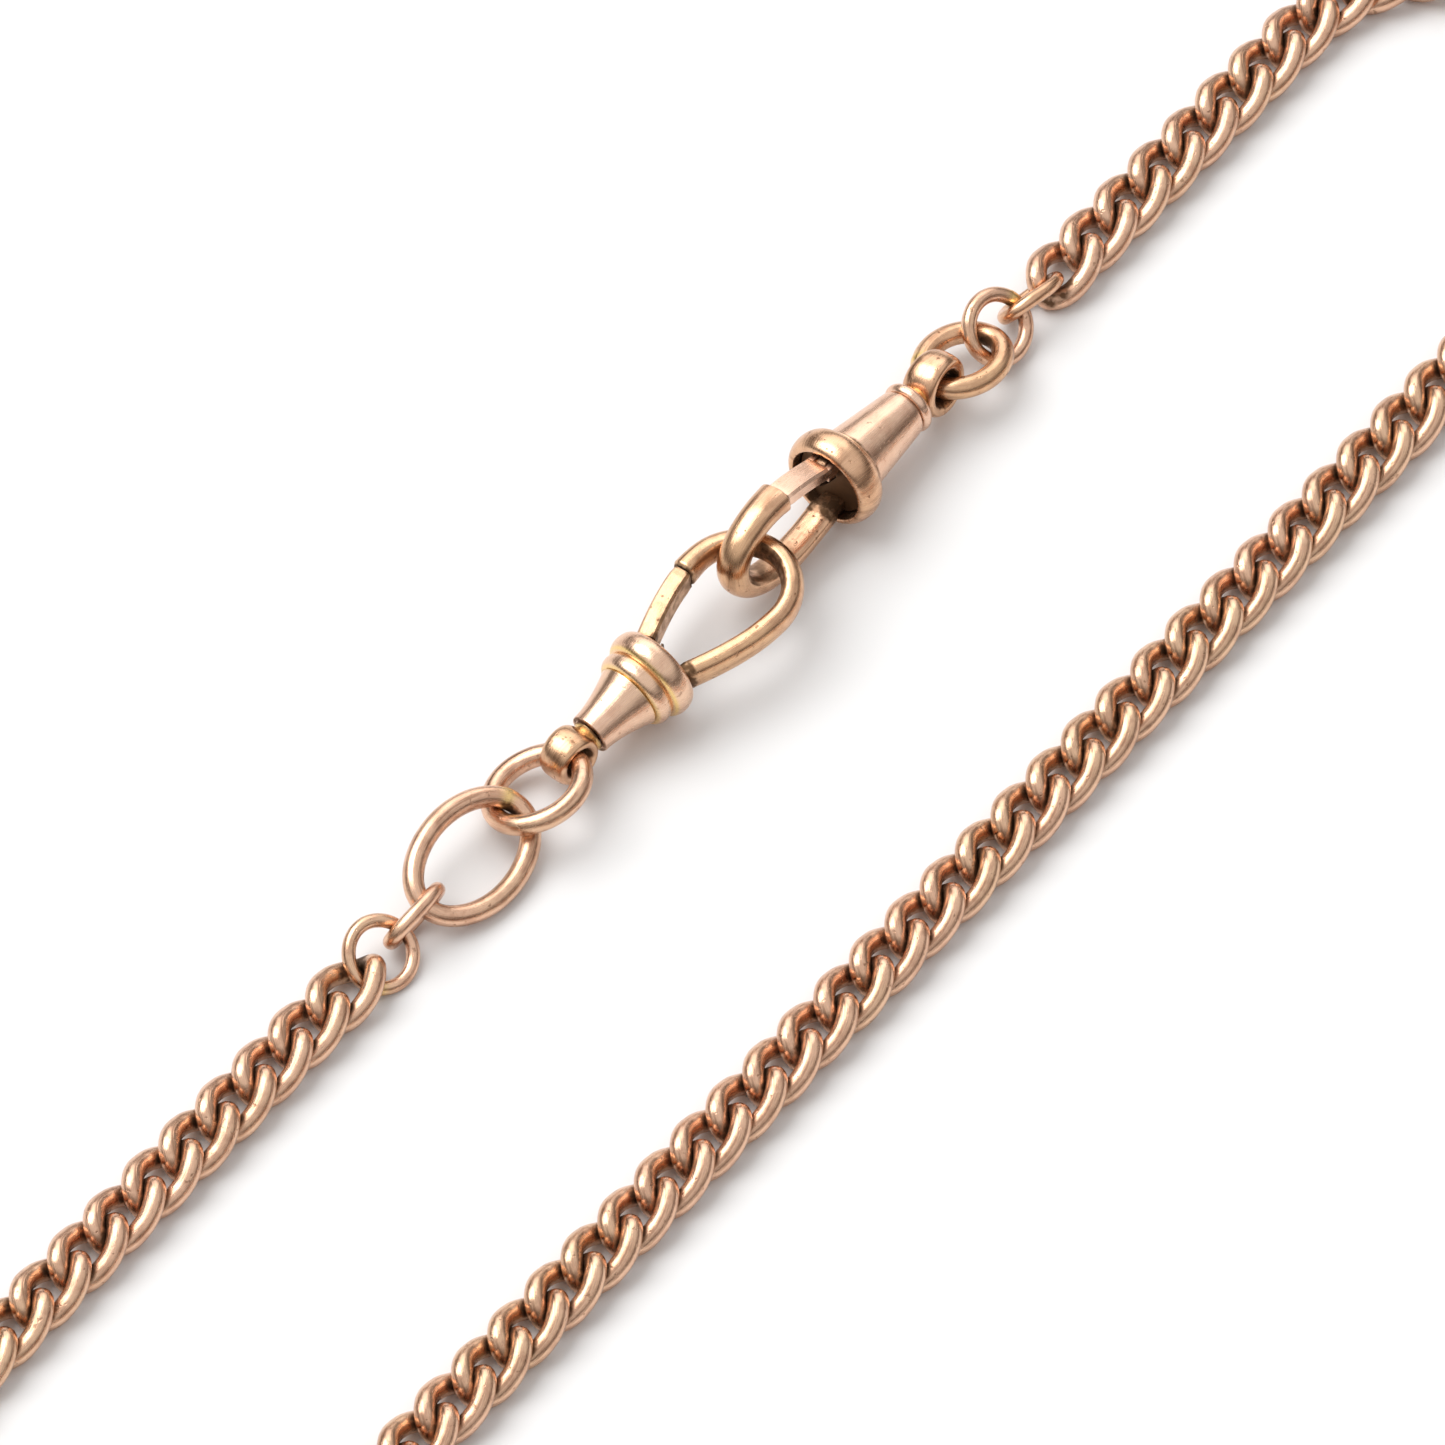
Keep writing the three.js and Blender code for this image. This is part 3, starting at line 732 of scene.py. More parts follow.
@dataclass
class Curb:
    """The curb links, one piece each, riding on the bodies of their CAD nodes.

    Attributes:
        loop: The route that they lie on.
        first: Where the first link of each run is, along the route.
        height: Of the links' middle.
        pitch: From link to link.
        stretch: Links in a joined CAD stretch.
        singles: Single CAD links at the start of each run.
        stretches: Joined CAD stretches in each run.
        tails: Single CAD links at the end of each run.
    """

    loop: Loop
    first: dict[Way, float]
    height: float
    pitch: float = 4.0
    stretch: int = 3
    singles: dict[Way, int] = field(default_factory=lambda: {Way.UPPER: 8, Way.LOWER: 10})
    stretches: dict[Way, int] = field(default_factory=lambda: {Way.UPPER: 18, Way.LOWER: 1})
    tails: dict[Way, int] = field(default_factory=lambda: {Way.UPPER: 1, Way.LOWER: 0})

    def sizes(self, way: Way) -> list[int]:
        """Links in each CAD node of a run, in order."""
        return ([1] * self.singles[way] + [self.stretch] * self.stretches[way]
                + [1] * self.tails[way])

    def link(self, name: str, distance: float, body: str, dress: Finish,
             seed: int) -> bpy.types.Object:
        """Makes one link.

        Args:
            name: Of the piece.
            distance: Of its middle, along the route.
            body: The CAD body that it rides on.
            dress: Its finish.
            seed: Of its small bends.

        Returns:
            The link.
        """
        wire = CurbWire(2.79, 1.68, 1.56, -55, 0.86, 0.76, rows=76, columns=20)
        skin = wire.skin(wobble=0.012, seed=seed)
        place = self.loop.frame(distance, self.height)
        tilt = np.random.default_rng(seed + 900).normal(size=2) * (1.3, 0.8)
        piece = make_piece(name, [skin], place @ turn(0, tilt[0]) @ turn(2, tilt[1]))
        dress.dress(piece)
        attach(piece, body)
        return piece

    def build(self, finishes: dict[str, Finish]) -> None:
        """Makes every link of both runs, and the two that close the loop."""
        dress = finishes[ROSE.name]
        seed = 100
        last: dict[Way, tuple[float, str]] = {}
        for way in Way:
            at = self.first[way]
            label = way.name.lower() + "_curb"
            for index, size in enumerate(self.sizes(way), start=1):
                node = f"{label}_{index:02d}"
                for k in range(size):
                    seed += 1
                    piece = self.link(f"{node}_link_{k + 1}", at, node, dress, seed)
                    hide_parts(node)
                    last[way] = (at, node)
                    at += way.value * self.pitch
            LOG.info("%s: %d links", label, sum(self.sizes(way)))
        for way in Way:
            at, body = last[way]
            name = f"{way.name.lower()}_closing_link"
            self.link(name, at + way.value * self.pitch, body, dress, seed + 7 * way.value)
            LOG.info("%s rides on %s", name, body)


# ---------------------------------------------------------------- swivel clips


@dataclass
class Clip:
    """A swivel clip, measured along its axis from the small end of its barrel.

    In its frame x points to the hook's tip and y towards the gate. Subclasses give the
    barrel's and the eye's own shapes.

    Attributes:
        name: Starts the names of its nodes and bodies.
        barrel_length: Of the barrel, without the collar.
        collar_width: Of the collar that carries the hook's plate.
        mouth_radius: Of the collar's opening.
        recess: Depth of the plate inside the mouth.
        mouth_half: From the axis to the legs' centre lines, at the mouth.
        belly_half: From the axis to the bow's centre line, where it is widest.
        belly_at: How far ahead of the mouth the bow is widest.
        bow_length: From the mouth to the outside of the tip.
        leg: Width and thickness of the legs.
        tip: Width and thickness of the tip.
        gate_length: Of the gate, ahead of the mouth.
        eye_radius: Outside of the swivel eye's band.
        eye_band: Thickness of that band.
        eye_width: Width of that band.
        seat: The clip's place: back, side and height, then pitch, yaw and roll.
        eye_roll: Turn of the eye about the axis, from the bow's plane.
        collar_lap: How far the collar reaches back over the barrel.
        pin_depth: How far the gate's pin is behind the mouth's rim.
        outward: How much fuller the bow is on its outside, as a share.
        wider: How much wider the bow is drawn, as a share.
        gate_gold: The gate's finish.
        gate_grime: Tarnish all over the gate.
    """

    name: str
    barrel_length: float
    collar_width: float
    mouth_radius: float
    recess: float
    mouth_half: float
    belly_half: float
    belly_at: float
    bow_length: float
    leg: tuple[float, float]
    tip: tuple[float, float]
    gate_length: float
    eye_radius: float
    eye_band: float
    eye_width: float
    seat: tuple[float, float, float, float, float, float]
    eye_roll: float
    collar_lap: float = 0.5
    pin_depth: float = 0.15
    outward: float = 0.3
    wider: float = 1.06
    gate_gold: Gold = PEACH
    gate_grime: float = 0.0

    @property
    def mouth(self) -> float:
        """Where the collar's front edge is, along the axis."""
        return self.barrel_length + self.collar_width - self.collar_lap

    @property
    def eye_reach(self) -> float:
        """From the barrel's small end back to the middle of the eye."""
        return self.eye_radius + 0.2

    def place(self, loop: Loop) -> Array:
        """The clip's frame in the chain's."""
        back, side, height, pitch, yaw, roll = self.seat
        spin = turn(2, yaw) @ turn(1, -pitch) @ turn(0, roll)
        return loop.frame(back, height) @ move(0, side, 0) @ spin

    def bow(self, t: Array) -> tuple[Array, Array, Array]:
        """The bow's centre line, with its side and up directions.

        From t = 0 at the gate's root each leg swings out as a quarter sine to the belly,
        and the tip is half an oval.

        Args:
            t: 0 at the gate's root to 1 at the fixed leg's.

        Returns:
            (points, unit vectors away from the bow's inside, unit vectors up).
        """
        share = 3 * np.minimum(t, 1 - t)
        spread = self.mouth_half + (self.belly_half - self.mouth_half) * np.sin(
            np.pi / 2 * np.clip(share, 0, 1))
        reach = self.bow_length - self.tip[1] / 2 - self.belly_at
        angle = np.pi * (3 * t - 1.5)
        leg_x = self.mouth + self.belly_at * share
        leg_y = np.where(t < 0.5, spread, -spread)
        tip_x = self.mouth + self.belly_at + reach * np.cos(angle)
        tip_y = -self.belly_half * np.sin(angle)
        tip = (t > 1 / 3) & (t < 2 / 3)
        path = np.stack([np.where(tip, tip_x, leg_x), np.where(tip, tip_y, leg_y), 0 * t], axis=1)
        tangent = unit(np.gradient(path, axis=0))
        up = np.broadcast_to((0.0, 0.0, 1.0), path.shape)
        return path, np.cross(up, tangent), up

    def bow_section(self, t: Array, columns: int) -> Array:
        """The bow's section at each t: a D, flatter on the inside, fuller at the tip."""
        share = np.sin(np.pi * np.clip(1.5 * t - 0.25, 0, 1))[:, None]
        wide = self.leg[0] + (self.tip[0] - self.leg[0]) * share
        thick = self.leg[1] + (self.tip[1] - self.leg[1]) * share
        angle = (np.arange(columns) + 0.5)[None] / columns * TAU
        c, s = np.cos(angle), np.sin(angle)
        power = 2.9 - 0.7 * share
        x = np.sign(c) * np.abs(c) ** (2 / power) * thick / 2
        y = np.sign(s) * np.abs(s) ** (2 / power) * wide / 2
        fuller = np.where(c < 0, 0.94, 1 + self.outward)
        return np.stack([x * fuller, self.wider * y * np.ones_like(x)], axis=2)

    def hook(self, finishes: dict[str, Finish], place: Array) -> None:
        """Makes the hook: its plate in the mouth, the fixed leg, the tip and the tenon."""
        seam = (self.gate_length + 0.12) / self.belly_at / 3
        t = np.linspace(seam, 0.999, 150)
        path, side, up = self.bow(t)
        section = self.bow_section(t, 36)
        start = smooth(t, seam, seam + 0.010)[:, None, None]
        section = section * (0.86 + 0.14 * start) * (1 + 0.13 * hump(t, seam, 0.07))[:, None, None]
        sunk = np.array([[-(self.recess + ROOT_DEPTH), 0, 0]])
        root = path[-1:] + sunk * np.linspace(0.15, 1, TENON_ROWS)[:, None]
        path = np.concatenate([path, root])
        side = np.concatenate([side, np.repeat(side[-1:], TENON_ROWS, axis=0)])
        up = np.concatenate([up, np.repeat(up[-1:], TENON_ROWS, axis=0)])
        neck = np.concatenate([np.ones(len(t) - 6), np.linspace(1, TENON_SHARE, 6),
                               np.full(TENON_ROWS, TENON_SHARE)])
        section = np.concatenate([section, np.repeat(section[-1:], TENON_ROWS, axis=0)])
        section = section * neck[:, None, None]
        points = sweep(path, side, up, section)
        x = path[:, 0]
        shade_and_grime = np.zeros(points.shape[:2])
        legs = np.concatenate([t, np.full(TENON_ROWS, 1.0)])
        # Painted shade on the fixed leg where it enters the mouth.
        shade_and_grime += smooth(self.mouth + 1.25 - x, 0, 0.5)[:, None] * (legs > 0.5)[:, None] * 0.9
        # Painted shade on the inner face of the bow.
        inside = (np.einsum("ijk,ik->ij", points - path[:, None], side) < -0.1 * self.leg[1])
        shade_and_grime += 0.5 * inside * (hump(legs, 0.5, 0.16) + 0.4)[:, None]
        # The fixed leg a little darker towards its root.
        shade_and_grime += 0.1 * smooth(legs, 0.6, 0.78)[:, None]
        shade_and_grime += 0.8 * hump(legs, seam, 0.006)[:, None]
        bow = Skin(points, ring=False, shade_and_grime=np.clip(shade_and_grime, 0, 1))
        front = self.mouth - self.recess
        back = self.barrel_length + SEAT_GAP
        r = self.mouth_radius - SEAT_GAP
        plate = fine([(back, 0.02), (back, r), (front, r), (front, 0.02)], 0.3)
        disc = lathe(plate, 64)
        # The plate painted dark all over: painted shade inside the mouth.
        dark = np.full(disc.shape[:2], 2.2)
        pin_x = self.mouth - self.pin_depth
        ear = self.ear(front - ROOT_DEPTH, pin_x)
        piece = make_piece(self.name + "_hook_bow",
                           [bow, Skin(disc, ring=False, shade_and_grime=dark), ear], place, sharp=40)
        finishes[BRASSY.name].dress(piece)
        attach(piece, self.name + "_clip")
        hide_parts(self.name + "_hook")
        LOG.info("%s: %d faces", piece.name, len(piece.data.polygons))

    def ear(self, root: float, pin_x: float) -> Skin:
        """The ear that the gate turns on: a rounded tongue, extruded across the bow."""
        reach = PIN_RADIUS + EAR_RIM
        angle = np.linspace(-np.pi / 2, np.pi / 2, 24)
        nose = np.stack([pin_x + reach * np.cos(angle),
                         self.mouth_half + reach * np.sin(angle)], axis=1)
        outline = np.concatenate([[[root, self.mouth_half - reach]], nose,
                                  [[root, self.mouth_half + reach]]])
        z = np.array([-0.37, -0.33, 0.33, 0.37])
        shrink = np.array([0.93, 1.0, 1.0, 0.93])
        centre = outline.mean(axis=0)
        flat = centre + (outline - centre)[None] * shrink[:, None, None]
        heights = np.broadcast_to(z[:, None, None], flat.shape[:2] + (1,))
        points = np.concatenate([flat, heights], axis=2)
        # The ear darkened all over: painted shade inside the mouth.
        return Skin(points, ring=False, shade_and_grime=np.full(points.shape[:2], 0.5))

    def gate(self, finishes: dict[str, Finish], place: Array) -> None:
        """Makes the gate: a bevelled bar with a slot at its root for the ear."""
        end = self.gate_length / self.belly_at / 3
        t = np.linspace(0, end, 60)
        path, side, up = self.bow(t)
        thick, wide = self.leg[1], self.leg[0]
        bevel = 0.2
        x, y = thick / 2, wide / 2
        outline = [(x, 0), (x, y - bevel), (x - bevel, y), (bevel - x, y), (-x, y - bevel),
                   (-x, bevel - y), (bevel - x, -y), (x - bevel, -y), (x, bevel - y), (x, 0)]
        section = fine(outline, 0.12)[:-1]
        pin_x = self.mouth - self.pin_depth
        tail = pin_x - TAIL_REACH
        slot_end = pin_x + PIN_RADIUS + EAR_RIM + 2 * RUNNING_GAP
        taper = 1 - 0.05 * smooth(t, end * 0.9, end)
        sections = section[None] * taper[:, None, None]
        body_from = path[:, 0] > slot_end - 0.02
        bar = sweep(path[body_from], side[body_from], up[body_from], sections[body_from])
        s = path[body_from][:, 0]
        # Darker at the tip's end, a dark joint with the hook, and painted shade at the root by the
        # mouth.
        shade_and_grime = (0.75 * hump(s, s[-1], 0.14) + 0.35 * hump(s, s[0], 0.5))[:, None]
        # Painted shade on the gate's inner face.
        lower = (section[:, 0] < -0.25 * thick)[None] * 0.35
        skins = [Skin(bar, ring=False, shade_and_grime=np.clip(shade_and_grime + lower + self.gate_grime, 0, 1))]
        slot_half = TONGUE_WIDTH / 2 + RUNNING_GAP
        cheek = wide / 2 - slot_half
        for sign in (-1, 1):
            middle = sign * (slot_half + cheek / 2)
            steps = np.linspace(tail, slot_end, 16)
            shape = round_section(28, thick, cheek, 7)
            back = ((pin_x - steps) / (TAIL_REACH + 0.01)).clip(0, 1)
            nose = np.sqrt(np.clip(1 - back**2, 0.05, 1))
            line = np.stack([steps, np.full(16, self.mouth_half), np.full(16, middle)], axis=1)
            one_side = np.broadcast_to((0.0, 1.0, 0.0), (16, 3))
            one_up = np.broadcast_to((0.0, 0.0, 1.0), (16, 3))
            grown = shape[None] * np.stack([nose, np.ones(16)], axis=1)[:, None]
            # Painted shade on the cheeks of the slot beside the ear at the mouth.
            skins.append(Skin(sweep(line, one_side, one_up, grown), ring=False,
                              shade_and_grime=np.full((16, 28), 0.35)))
        piece = make_piece(self.name + "_gate_bar", skins, place, sharp=32)
        finishes[self.gate_gold.name].dress(piece)
        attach(piece, self.name + "_gate")
        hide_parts(self.name + "_gate")
        LOG.info("%s: %d faces", piece.name, len(piece.data.polygons))

    def pin(self, finishes: dict[str, Finish], place: Array) -> None:
        """Makes the gate's pin, domed at both ends."""
        half = self.leg[0] / 2 - 0.01
        angle = np.linspace(0, np.pi / 2, 6)
        dome = [(half - 0.1 + 0.1 * math.sin(a), 0.2 + 0.1 * math.cos(a)) for a in angle]
        profile = [(-z, r) for z, r in reversed(dome)] + dome
        points = lathe(np.array(profile), 32)
        points = points[..., [1, 2, 0]] + (self.mouth - self.pin_depth, self.mouth_half, 0)
        skin = Skin(points, ring=False, shade_and_grime=np.full(points.shape[:2], 0.45))
        piece = make_piece(self.name + "_pin_stud", [skin], place)
        finishes[DULL.name].dress(piece)
        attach(piece, self.name + "_clip")
        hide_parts(self.name + "_gate_pin")

    def spring(self, finishes: dict[str, Finish], place: Array) -> None:
        """Makes the leaf that pushes the gate out, on a quadratic curve."""
        inside = self.mouth_half - (self.leg[1] + SPRING_THICKNESS) / 2 - RUNNING_GAP
        a = np.array([self.mouth - self.recess + SEAT_GAP, self.mouth_half - SPRING_ROOT, 0])
        b = np.array([self.mouth, self.mouth_half - SPRING_ROOT, 0])
        c = np.array([self.mouth + SPRING_REACH, inside, 0])
        t = np.linspace(0, 1, 24)[:, None]
        path = (1 - t) ** 2 * a + 2 * t * (1 - t) * b + t**2 * c
        up = np.broadcast_to((0.0, 0.0, 1.0), path.shape)
        side = np.cross(up, unit(np.gradient(path, axis=0)))
        points = sweep(path, side, up, round_section(28, 0.2, 1.1, 8))
        piece = make_piece(self.name + "_spring_leaf", [Skin(points, ring=False)], place)
        finishes[LEAF.name].dress(piece)
        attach(piece, self.name + "_clip")
        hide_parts(self.name + "_gate_spring")

    def turned_piece(self, part: str, node: str, profile: Array, gold: Gold,
                     finishes: dict[str, Finish], place: Array,
                     shade_and_grime: Callable[[Array], Array], gilt: Callable[[Array], Array]) -> None:
        """Makes a turned part from a closed profile.

        Args:
            part: The piece's name after the clip's.
            node: The CAD node that it stands for.
            profile: Closed profile of x and radius, without its last point repeated.
            gold: Its finish.
            finishes: The finishes by gold name.
            place: The clip's frame.
            shade_and_grime: Painted shade along the profile.
            gilt: Yellow solder along the profile.
        """
        points = lathe(profile, 96)
        shape = points.shape[:2]
        skin = Skin(points, ring=True,
                    shade_and_grime=np.broadcast_to(shade_and_grime(profile)[:, None], shape).copy(),
                    gilt=np.broadcast_to(gilt(profile)[:, None], shape).copy())
        piece = make_piece(f"{self.name}_{part}", [skin], place, sharp=38)
        finishes[gold.name].dress(piece)
        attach(piece, self.name + "_clip")
        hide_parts(f"{self.name}_{node}")
        LOG.info("%s: %d faces", piece.name, len(piece.data.polygons))

    def build(self, loop: Loop, finishes: dict[str, Finish]) -> None:
        """Makes the whole clip."""
        place = self.place(loop)
        self.barrel(finishes, place)
        self.hook(finishes, place)
        self.gate(finishes, place)
        self.pin(finishes, place)
        self.spring(finishes, place)
        self.eye(finishes, place)


def moulding(x: float, width: float, back: float, front: float, top: float,
             count: int = 22) -> list[tuple[float, float]]:
    """A half-round moulding: the radius rises as a sine from its feet to its top.

    Args:
        x: Its middle.
        width: Its width.
        back: Radius of the foot at its back.
        front: Radius of the foot at its front.
        top: Radius at its top.
        count: How many points it has.

    Returns:
        Profile points from back to front.
    """
    a = np.linspace(0, np.pi, count)
    foot = back + (front - back) * a / np.pi
    return list(zip(x - width / 2 * np.cos(a), foot + (top - foot) * np.sin(a) ** 0.9))


@dataclass
class ConeClip(Clip):
    """The upper clip: a plain cone with a lipped neck and one big half-round collar."""

    def barrel(self, finishes: dict[str, Finish], place: Array) -> None:
        """Makes the cone and the collar."""
        length = self.barrel_length
        neck = moulding(0.47, 0.94, 1.5, 1.66, 2.04, 12)
        outer = rounded([(0.0, 0.8), (0.0, 1.46), *neck, (1.0, 1.62), (1.16, 1.9), (1.45, 1.95),
                         (6.9, 2.62), (length, 2.70)], 0.07)
        inner = rounded([(length, 2.25), (1.6, 1.4), (1.0, 1.25), (1.0, 0.8)], 0.05)
        cone = np.concatenate([outer, inner])
        self.turned_piece(
            "barrel_cone", "barrel", cone, PEACH, finishes, place,
            # Painted shade in the groove behind the neck, in the crevice before the collar and at
            # the small end.
            lambda p: np.clip(0.8 * hump(p[:, 0], 1.0, 0.09) + hump(p[:, 0], 7.25, 0.30)
                              + 0.5 * hump(p[:, 0], 0.0, 0.12), 0, 1) * (p[:, 1] > 1.3),
            lambda p: 0 * p[:, 0])
        x0, x1 = length - self.collar_lap, self.mouth
        step = [(x0, 2.86), (x0, 3.02), (x0 + 0.1, 3.12), (x0 + 0.22, 3.06)]
        bulge = moulding((x0 + 0.22 + x1) / 2, x1 - x0 - 0.22, 3.02, 3.12, 3.80, 40)
        front = rounded([*bulge, (x1 - 0.05, 2.98), (x1 - 0.2, 2.95), (length + 0.15, 2.95),
                         (length + 0.15, 2.86), (x0 + 0.02, 2.86)], 0.05)
        collar = np.concatenate([rounded(step, 0.04), front])
        self.turned_piece(
            "collar_ring", "collar", collar, BRASSY, finishes, place,
            # Painted shade inside the collar and in the notch at its back step.
            lambda p: np.clip(0.9 * (p[:, 1] < 2.99) + 0.7 * hump(p[:, 0], x0 + 0.22, 0.1), 0, 1),
            lambda p: 0 * p[:, 0])

    def eye(self, finishes: dict[str, Finish], place: Array) -> None:
        """Makes the swivel eye: a broad comma-shaped band on a riveted post."""
        build_eye(self, finishes, place, full=0.28, stem=1.35)


@dataclass
class BellClip(Clip):
    """The lower clip: a flared bell with two half-round beads and yellow grooves."""

    def barrel(self, finishes: dict[str, Finish], place: Array) -> None:
        """Makes the bell with its first bead, and the second bead as the collar."""
        length = self.barrel_length
        x = np.linspace(0.12, 4.15, 40)
        flare = 1.62 + 0.95 * ((x - 0.12) / 4.03) ** 1.7
        bead = moulding(4.98, 1.5, 2.48, 2.55, 3.08, 26)
        outer = rounded([(0.0, 0.8), (0.0, 1.52), (0.05, 1.6), *zip(x, flare), *bead,
                         (length - 0.25, 2.56), (length, 2.6)], 0.06)
        inner = rounded([(length, 2.2), (1.6, 1.4), (1.0, 1.25), (1.0, 0.8)], 0.05)
        bell = np.concatenate([outer, inner])
        self.turned_piece(
            "barrel_bell", "barrel", bell, PEACH, finishes, place,
            # Painted shade in the grooves beside the bead and at the small end; the yellow solder
            # in them is real.
            lambda p: np.clip(0.5 * hump(p[:, 0], 4.2, 0.07) + 0.5 * hump(p[:, 0], 5.78, 0.06)
                              + 0.7 * hump(p[:, 0], 0.0, 0.1), 0, 1) * (p[:, 1] > 1.3),
            lambda p: np.clip(0.65 * hump(p[:, 0], 4.26, 0.13) + 0.65 * hump(p[:, 0], 5.70, 0.14),
                              0, 1) * (p[:, 1] > 1.3))
        x0, x1 = length - self.collar_lap, self.mouth
        top = moulding((x0 + x1) / 2 - 0.05, x1 - x0 + 0.02, 2.82, 2.93, 3.55, 40)
        front = rounded([*top, (x1 - 0.02, 2.88), (x1 - 0.2, 2.85), (length + 0.15, 2.85),
                         (length + 0.15, 2.82), (x0 + 0.02, 2.82)], 0.05)
        self.turned_piece(
            "collar_bead", "collar", front, PEACH, finishes, place,
            # Painted shade inside the collar bead.
            lambda p: np.clip(0.8 * (p[:, 1] < 2.87), 0, 1),
            lambda p: 0.8 * hump(p[:, 0], x0 + 0.1, 0.14))

    def eye(self, finishes: dict[str, Finish], place: Array) -> None:
        """Makes the swivel eye: a stout stem bent into a loop."""
        build_eye(self, finishes, place, full=0.12, stem=1.3)


def build_eye(clip: Clip, finishes: dict[str, Finish], place: Array, full: float,
              stem: float) -> None:
    """Makes a swivel eye: a band bent round a hole, a stem, and a post with a riveted head.

    The band's section is a superellipse carried round a circle; it is fullest at the stem
    and thins towards the curl's end, where a fine seam shows.

    Args:
        clip: The clip that it belongs to.
        finishes: The finishes by gold name.
        place: The clip's frame.
        full: How much fuller the band is at the stem than at its end, as a share.
        stem: Radius of the stem where it meets the barrel.
    """
    rows, columns = 120, 36
    angle = np.arange(rows) / rows * TAU
    middle = clip.eye_radius - clip.eye_band / 2
    out = np.stack([np.cos(angle), 0 * angle, np.sin(angle)], axis=1)
    path = out * middle - (clip.eye_reach, 0, 0)
    up = np.broadcast_to((0.0, 1.0, 0.0), path.shape)
    shape = round_section(columns, clip.eye_band, clip.eye_width, 2.6)
    fat = 1 + full * np.cos(angle / 2) ** 2
    wide = np.stack([np.ones(rows), fat], axis=1)[:, None]
    points = sweep(path, out, up, shape[None] * wide)
    # Painted shade on the inner face of the band, round the hole.
    inner = smooth(-shape[:, 0] / (clip.eye_band / 2), 0.1, 0.9)
    seam = hump((angle - 1.62 * np.pi) * middle, 0, 0.07)
    shade_and_grime = np.clip(0.95 * inner[None] + 0.8 * seam[:, None], 0, 1)
    band = Skin(points, ring=True, shade_and_grime=shade_and_grime)
    foot = -clip.eye_reach + middle
    head = 1.1
    x = np.linspace(foot + 0.15, -0.12, 10)
    share = (x - x[0]) / (x[-1] - x[0])
    shaft = list(zip(x, 0.95 + (stem - 0.95) * share))
    profile = rounded([(foot, 0.03), (foot + 0.05, 0.8), *shaft, (-0.1, 0.7), (head, 0.7),
                       (head, 1.15), (head + 0.45, 0.95), (head + 0.45, 0.03)], 0.05)
    post = lathe(profile, 64)
    # Painted shade on the post where it sits inside the barrel.
    dark = np.broadcast_to(smooth(profile[:, 0], -0.35, -0.1)[:, None] * 0.9, post.shape[:2])
    gilt = np.broadcast_to(0.55 * hump(profile[:, 0], -0.3, 0.22)[:, None], post.shape[:2])
    stem_skin = Skin(post, ring=False, shade_and_grime=dark.copy(), gilt=gilt.copy())
    piece = make_piece(clip.name + "_eye_band", [band, stem_skin], place @ turn(0, clip.eye_roll))
    finishes[BRASSY.name].dress(piece)
    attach(piece, clip.name + "_eye")
    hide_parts(clip.name + "_swivel_eye")
    LOG.info("%s: %d faces", piece.name, len(piece.data.polygons))


# ---------------------------------------------------------------- the chain


UPPER_RINGS = [
    Ring("upper_thick_ring", 3.22, 2.72, 1.65, -10, 3.0, BRASSY, solder=0.37),
    Ring("upper_small_ring", 2.5, 2.4, 1.0, 42, 2.2, ROSE, solder=0.05, fuller=0.12),
    Ring("upper_oval_link", 2.6, 1.8, 0.9, 125, 2.3, BRASSY, fuller=0.15),
]
LOWER_RINGS = [
    Ring("lower_round_ring", 3.5, 3.5, 1.3, -24, 2.75, ROSE, fuller=0.25),
    Ring("lower_oval_ring", 5.33, 3.43, 1.35, 26, 2.2, ROSE, solder=0.045, fuller=0.22),
    Ring("lower_oval_link", 2.55, 1.55, 1.0, 110, 2.2, ROSE, fuller=0.15),
    Ring("lower_small_ring", 2.43, 2.43, 0.9, 34, 1.8, ROSE, solder=0.6, fuller=0.12),
]
UPPER_CLIP = ConeClip(
    "upper", 7.9, 2.7, 2.95, 0.85, 2.0, 3.0, 5.7, 11.1, (2.1, 1.1), (2.25, 1.5), 4.9,
    2.4, 1.1, 2.2, (19.0, 0.0, 3.4, 4, 180, 100), eye_roll=-100 + 10, outward=0.55, wider=1.12)
LOWER_CLIP = BellClip(
    "lower", 6.1, 2.0, 2.85, 0.88, 1.75, 3.8, 8.0, 12.7, (2.1, 1.4), (2.1, 1.5), 6.4,
    2.0, 0.95, 2.4, (-17.95, -0.15, 3.0, 6, -3.5, 0), eye_roll=-6, gate_gold=BRASSY,
    gate_grime=0.12)


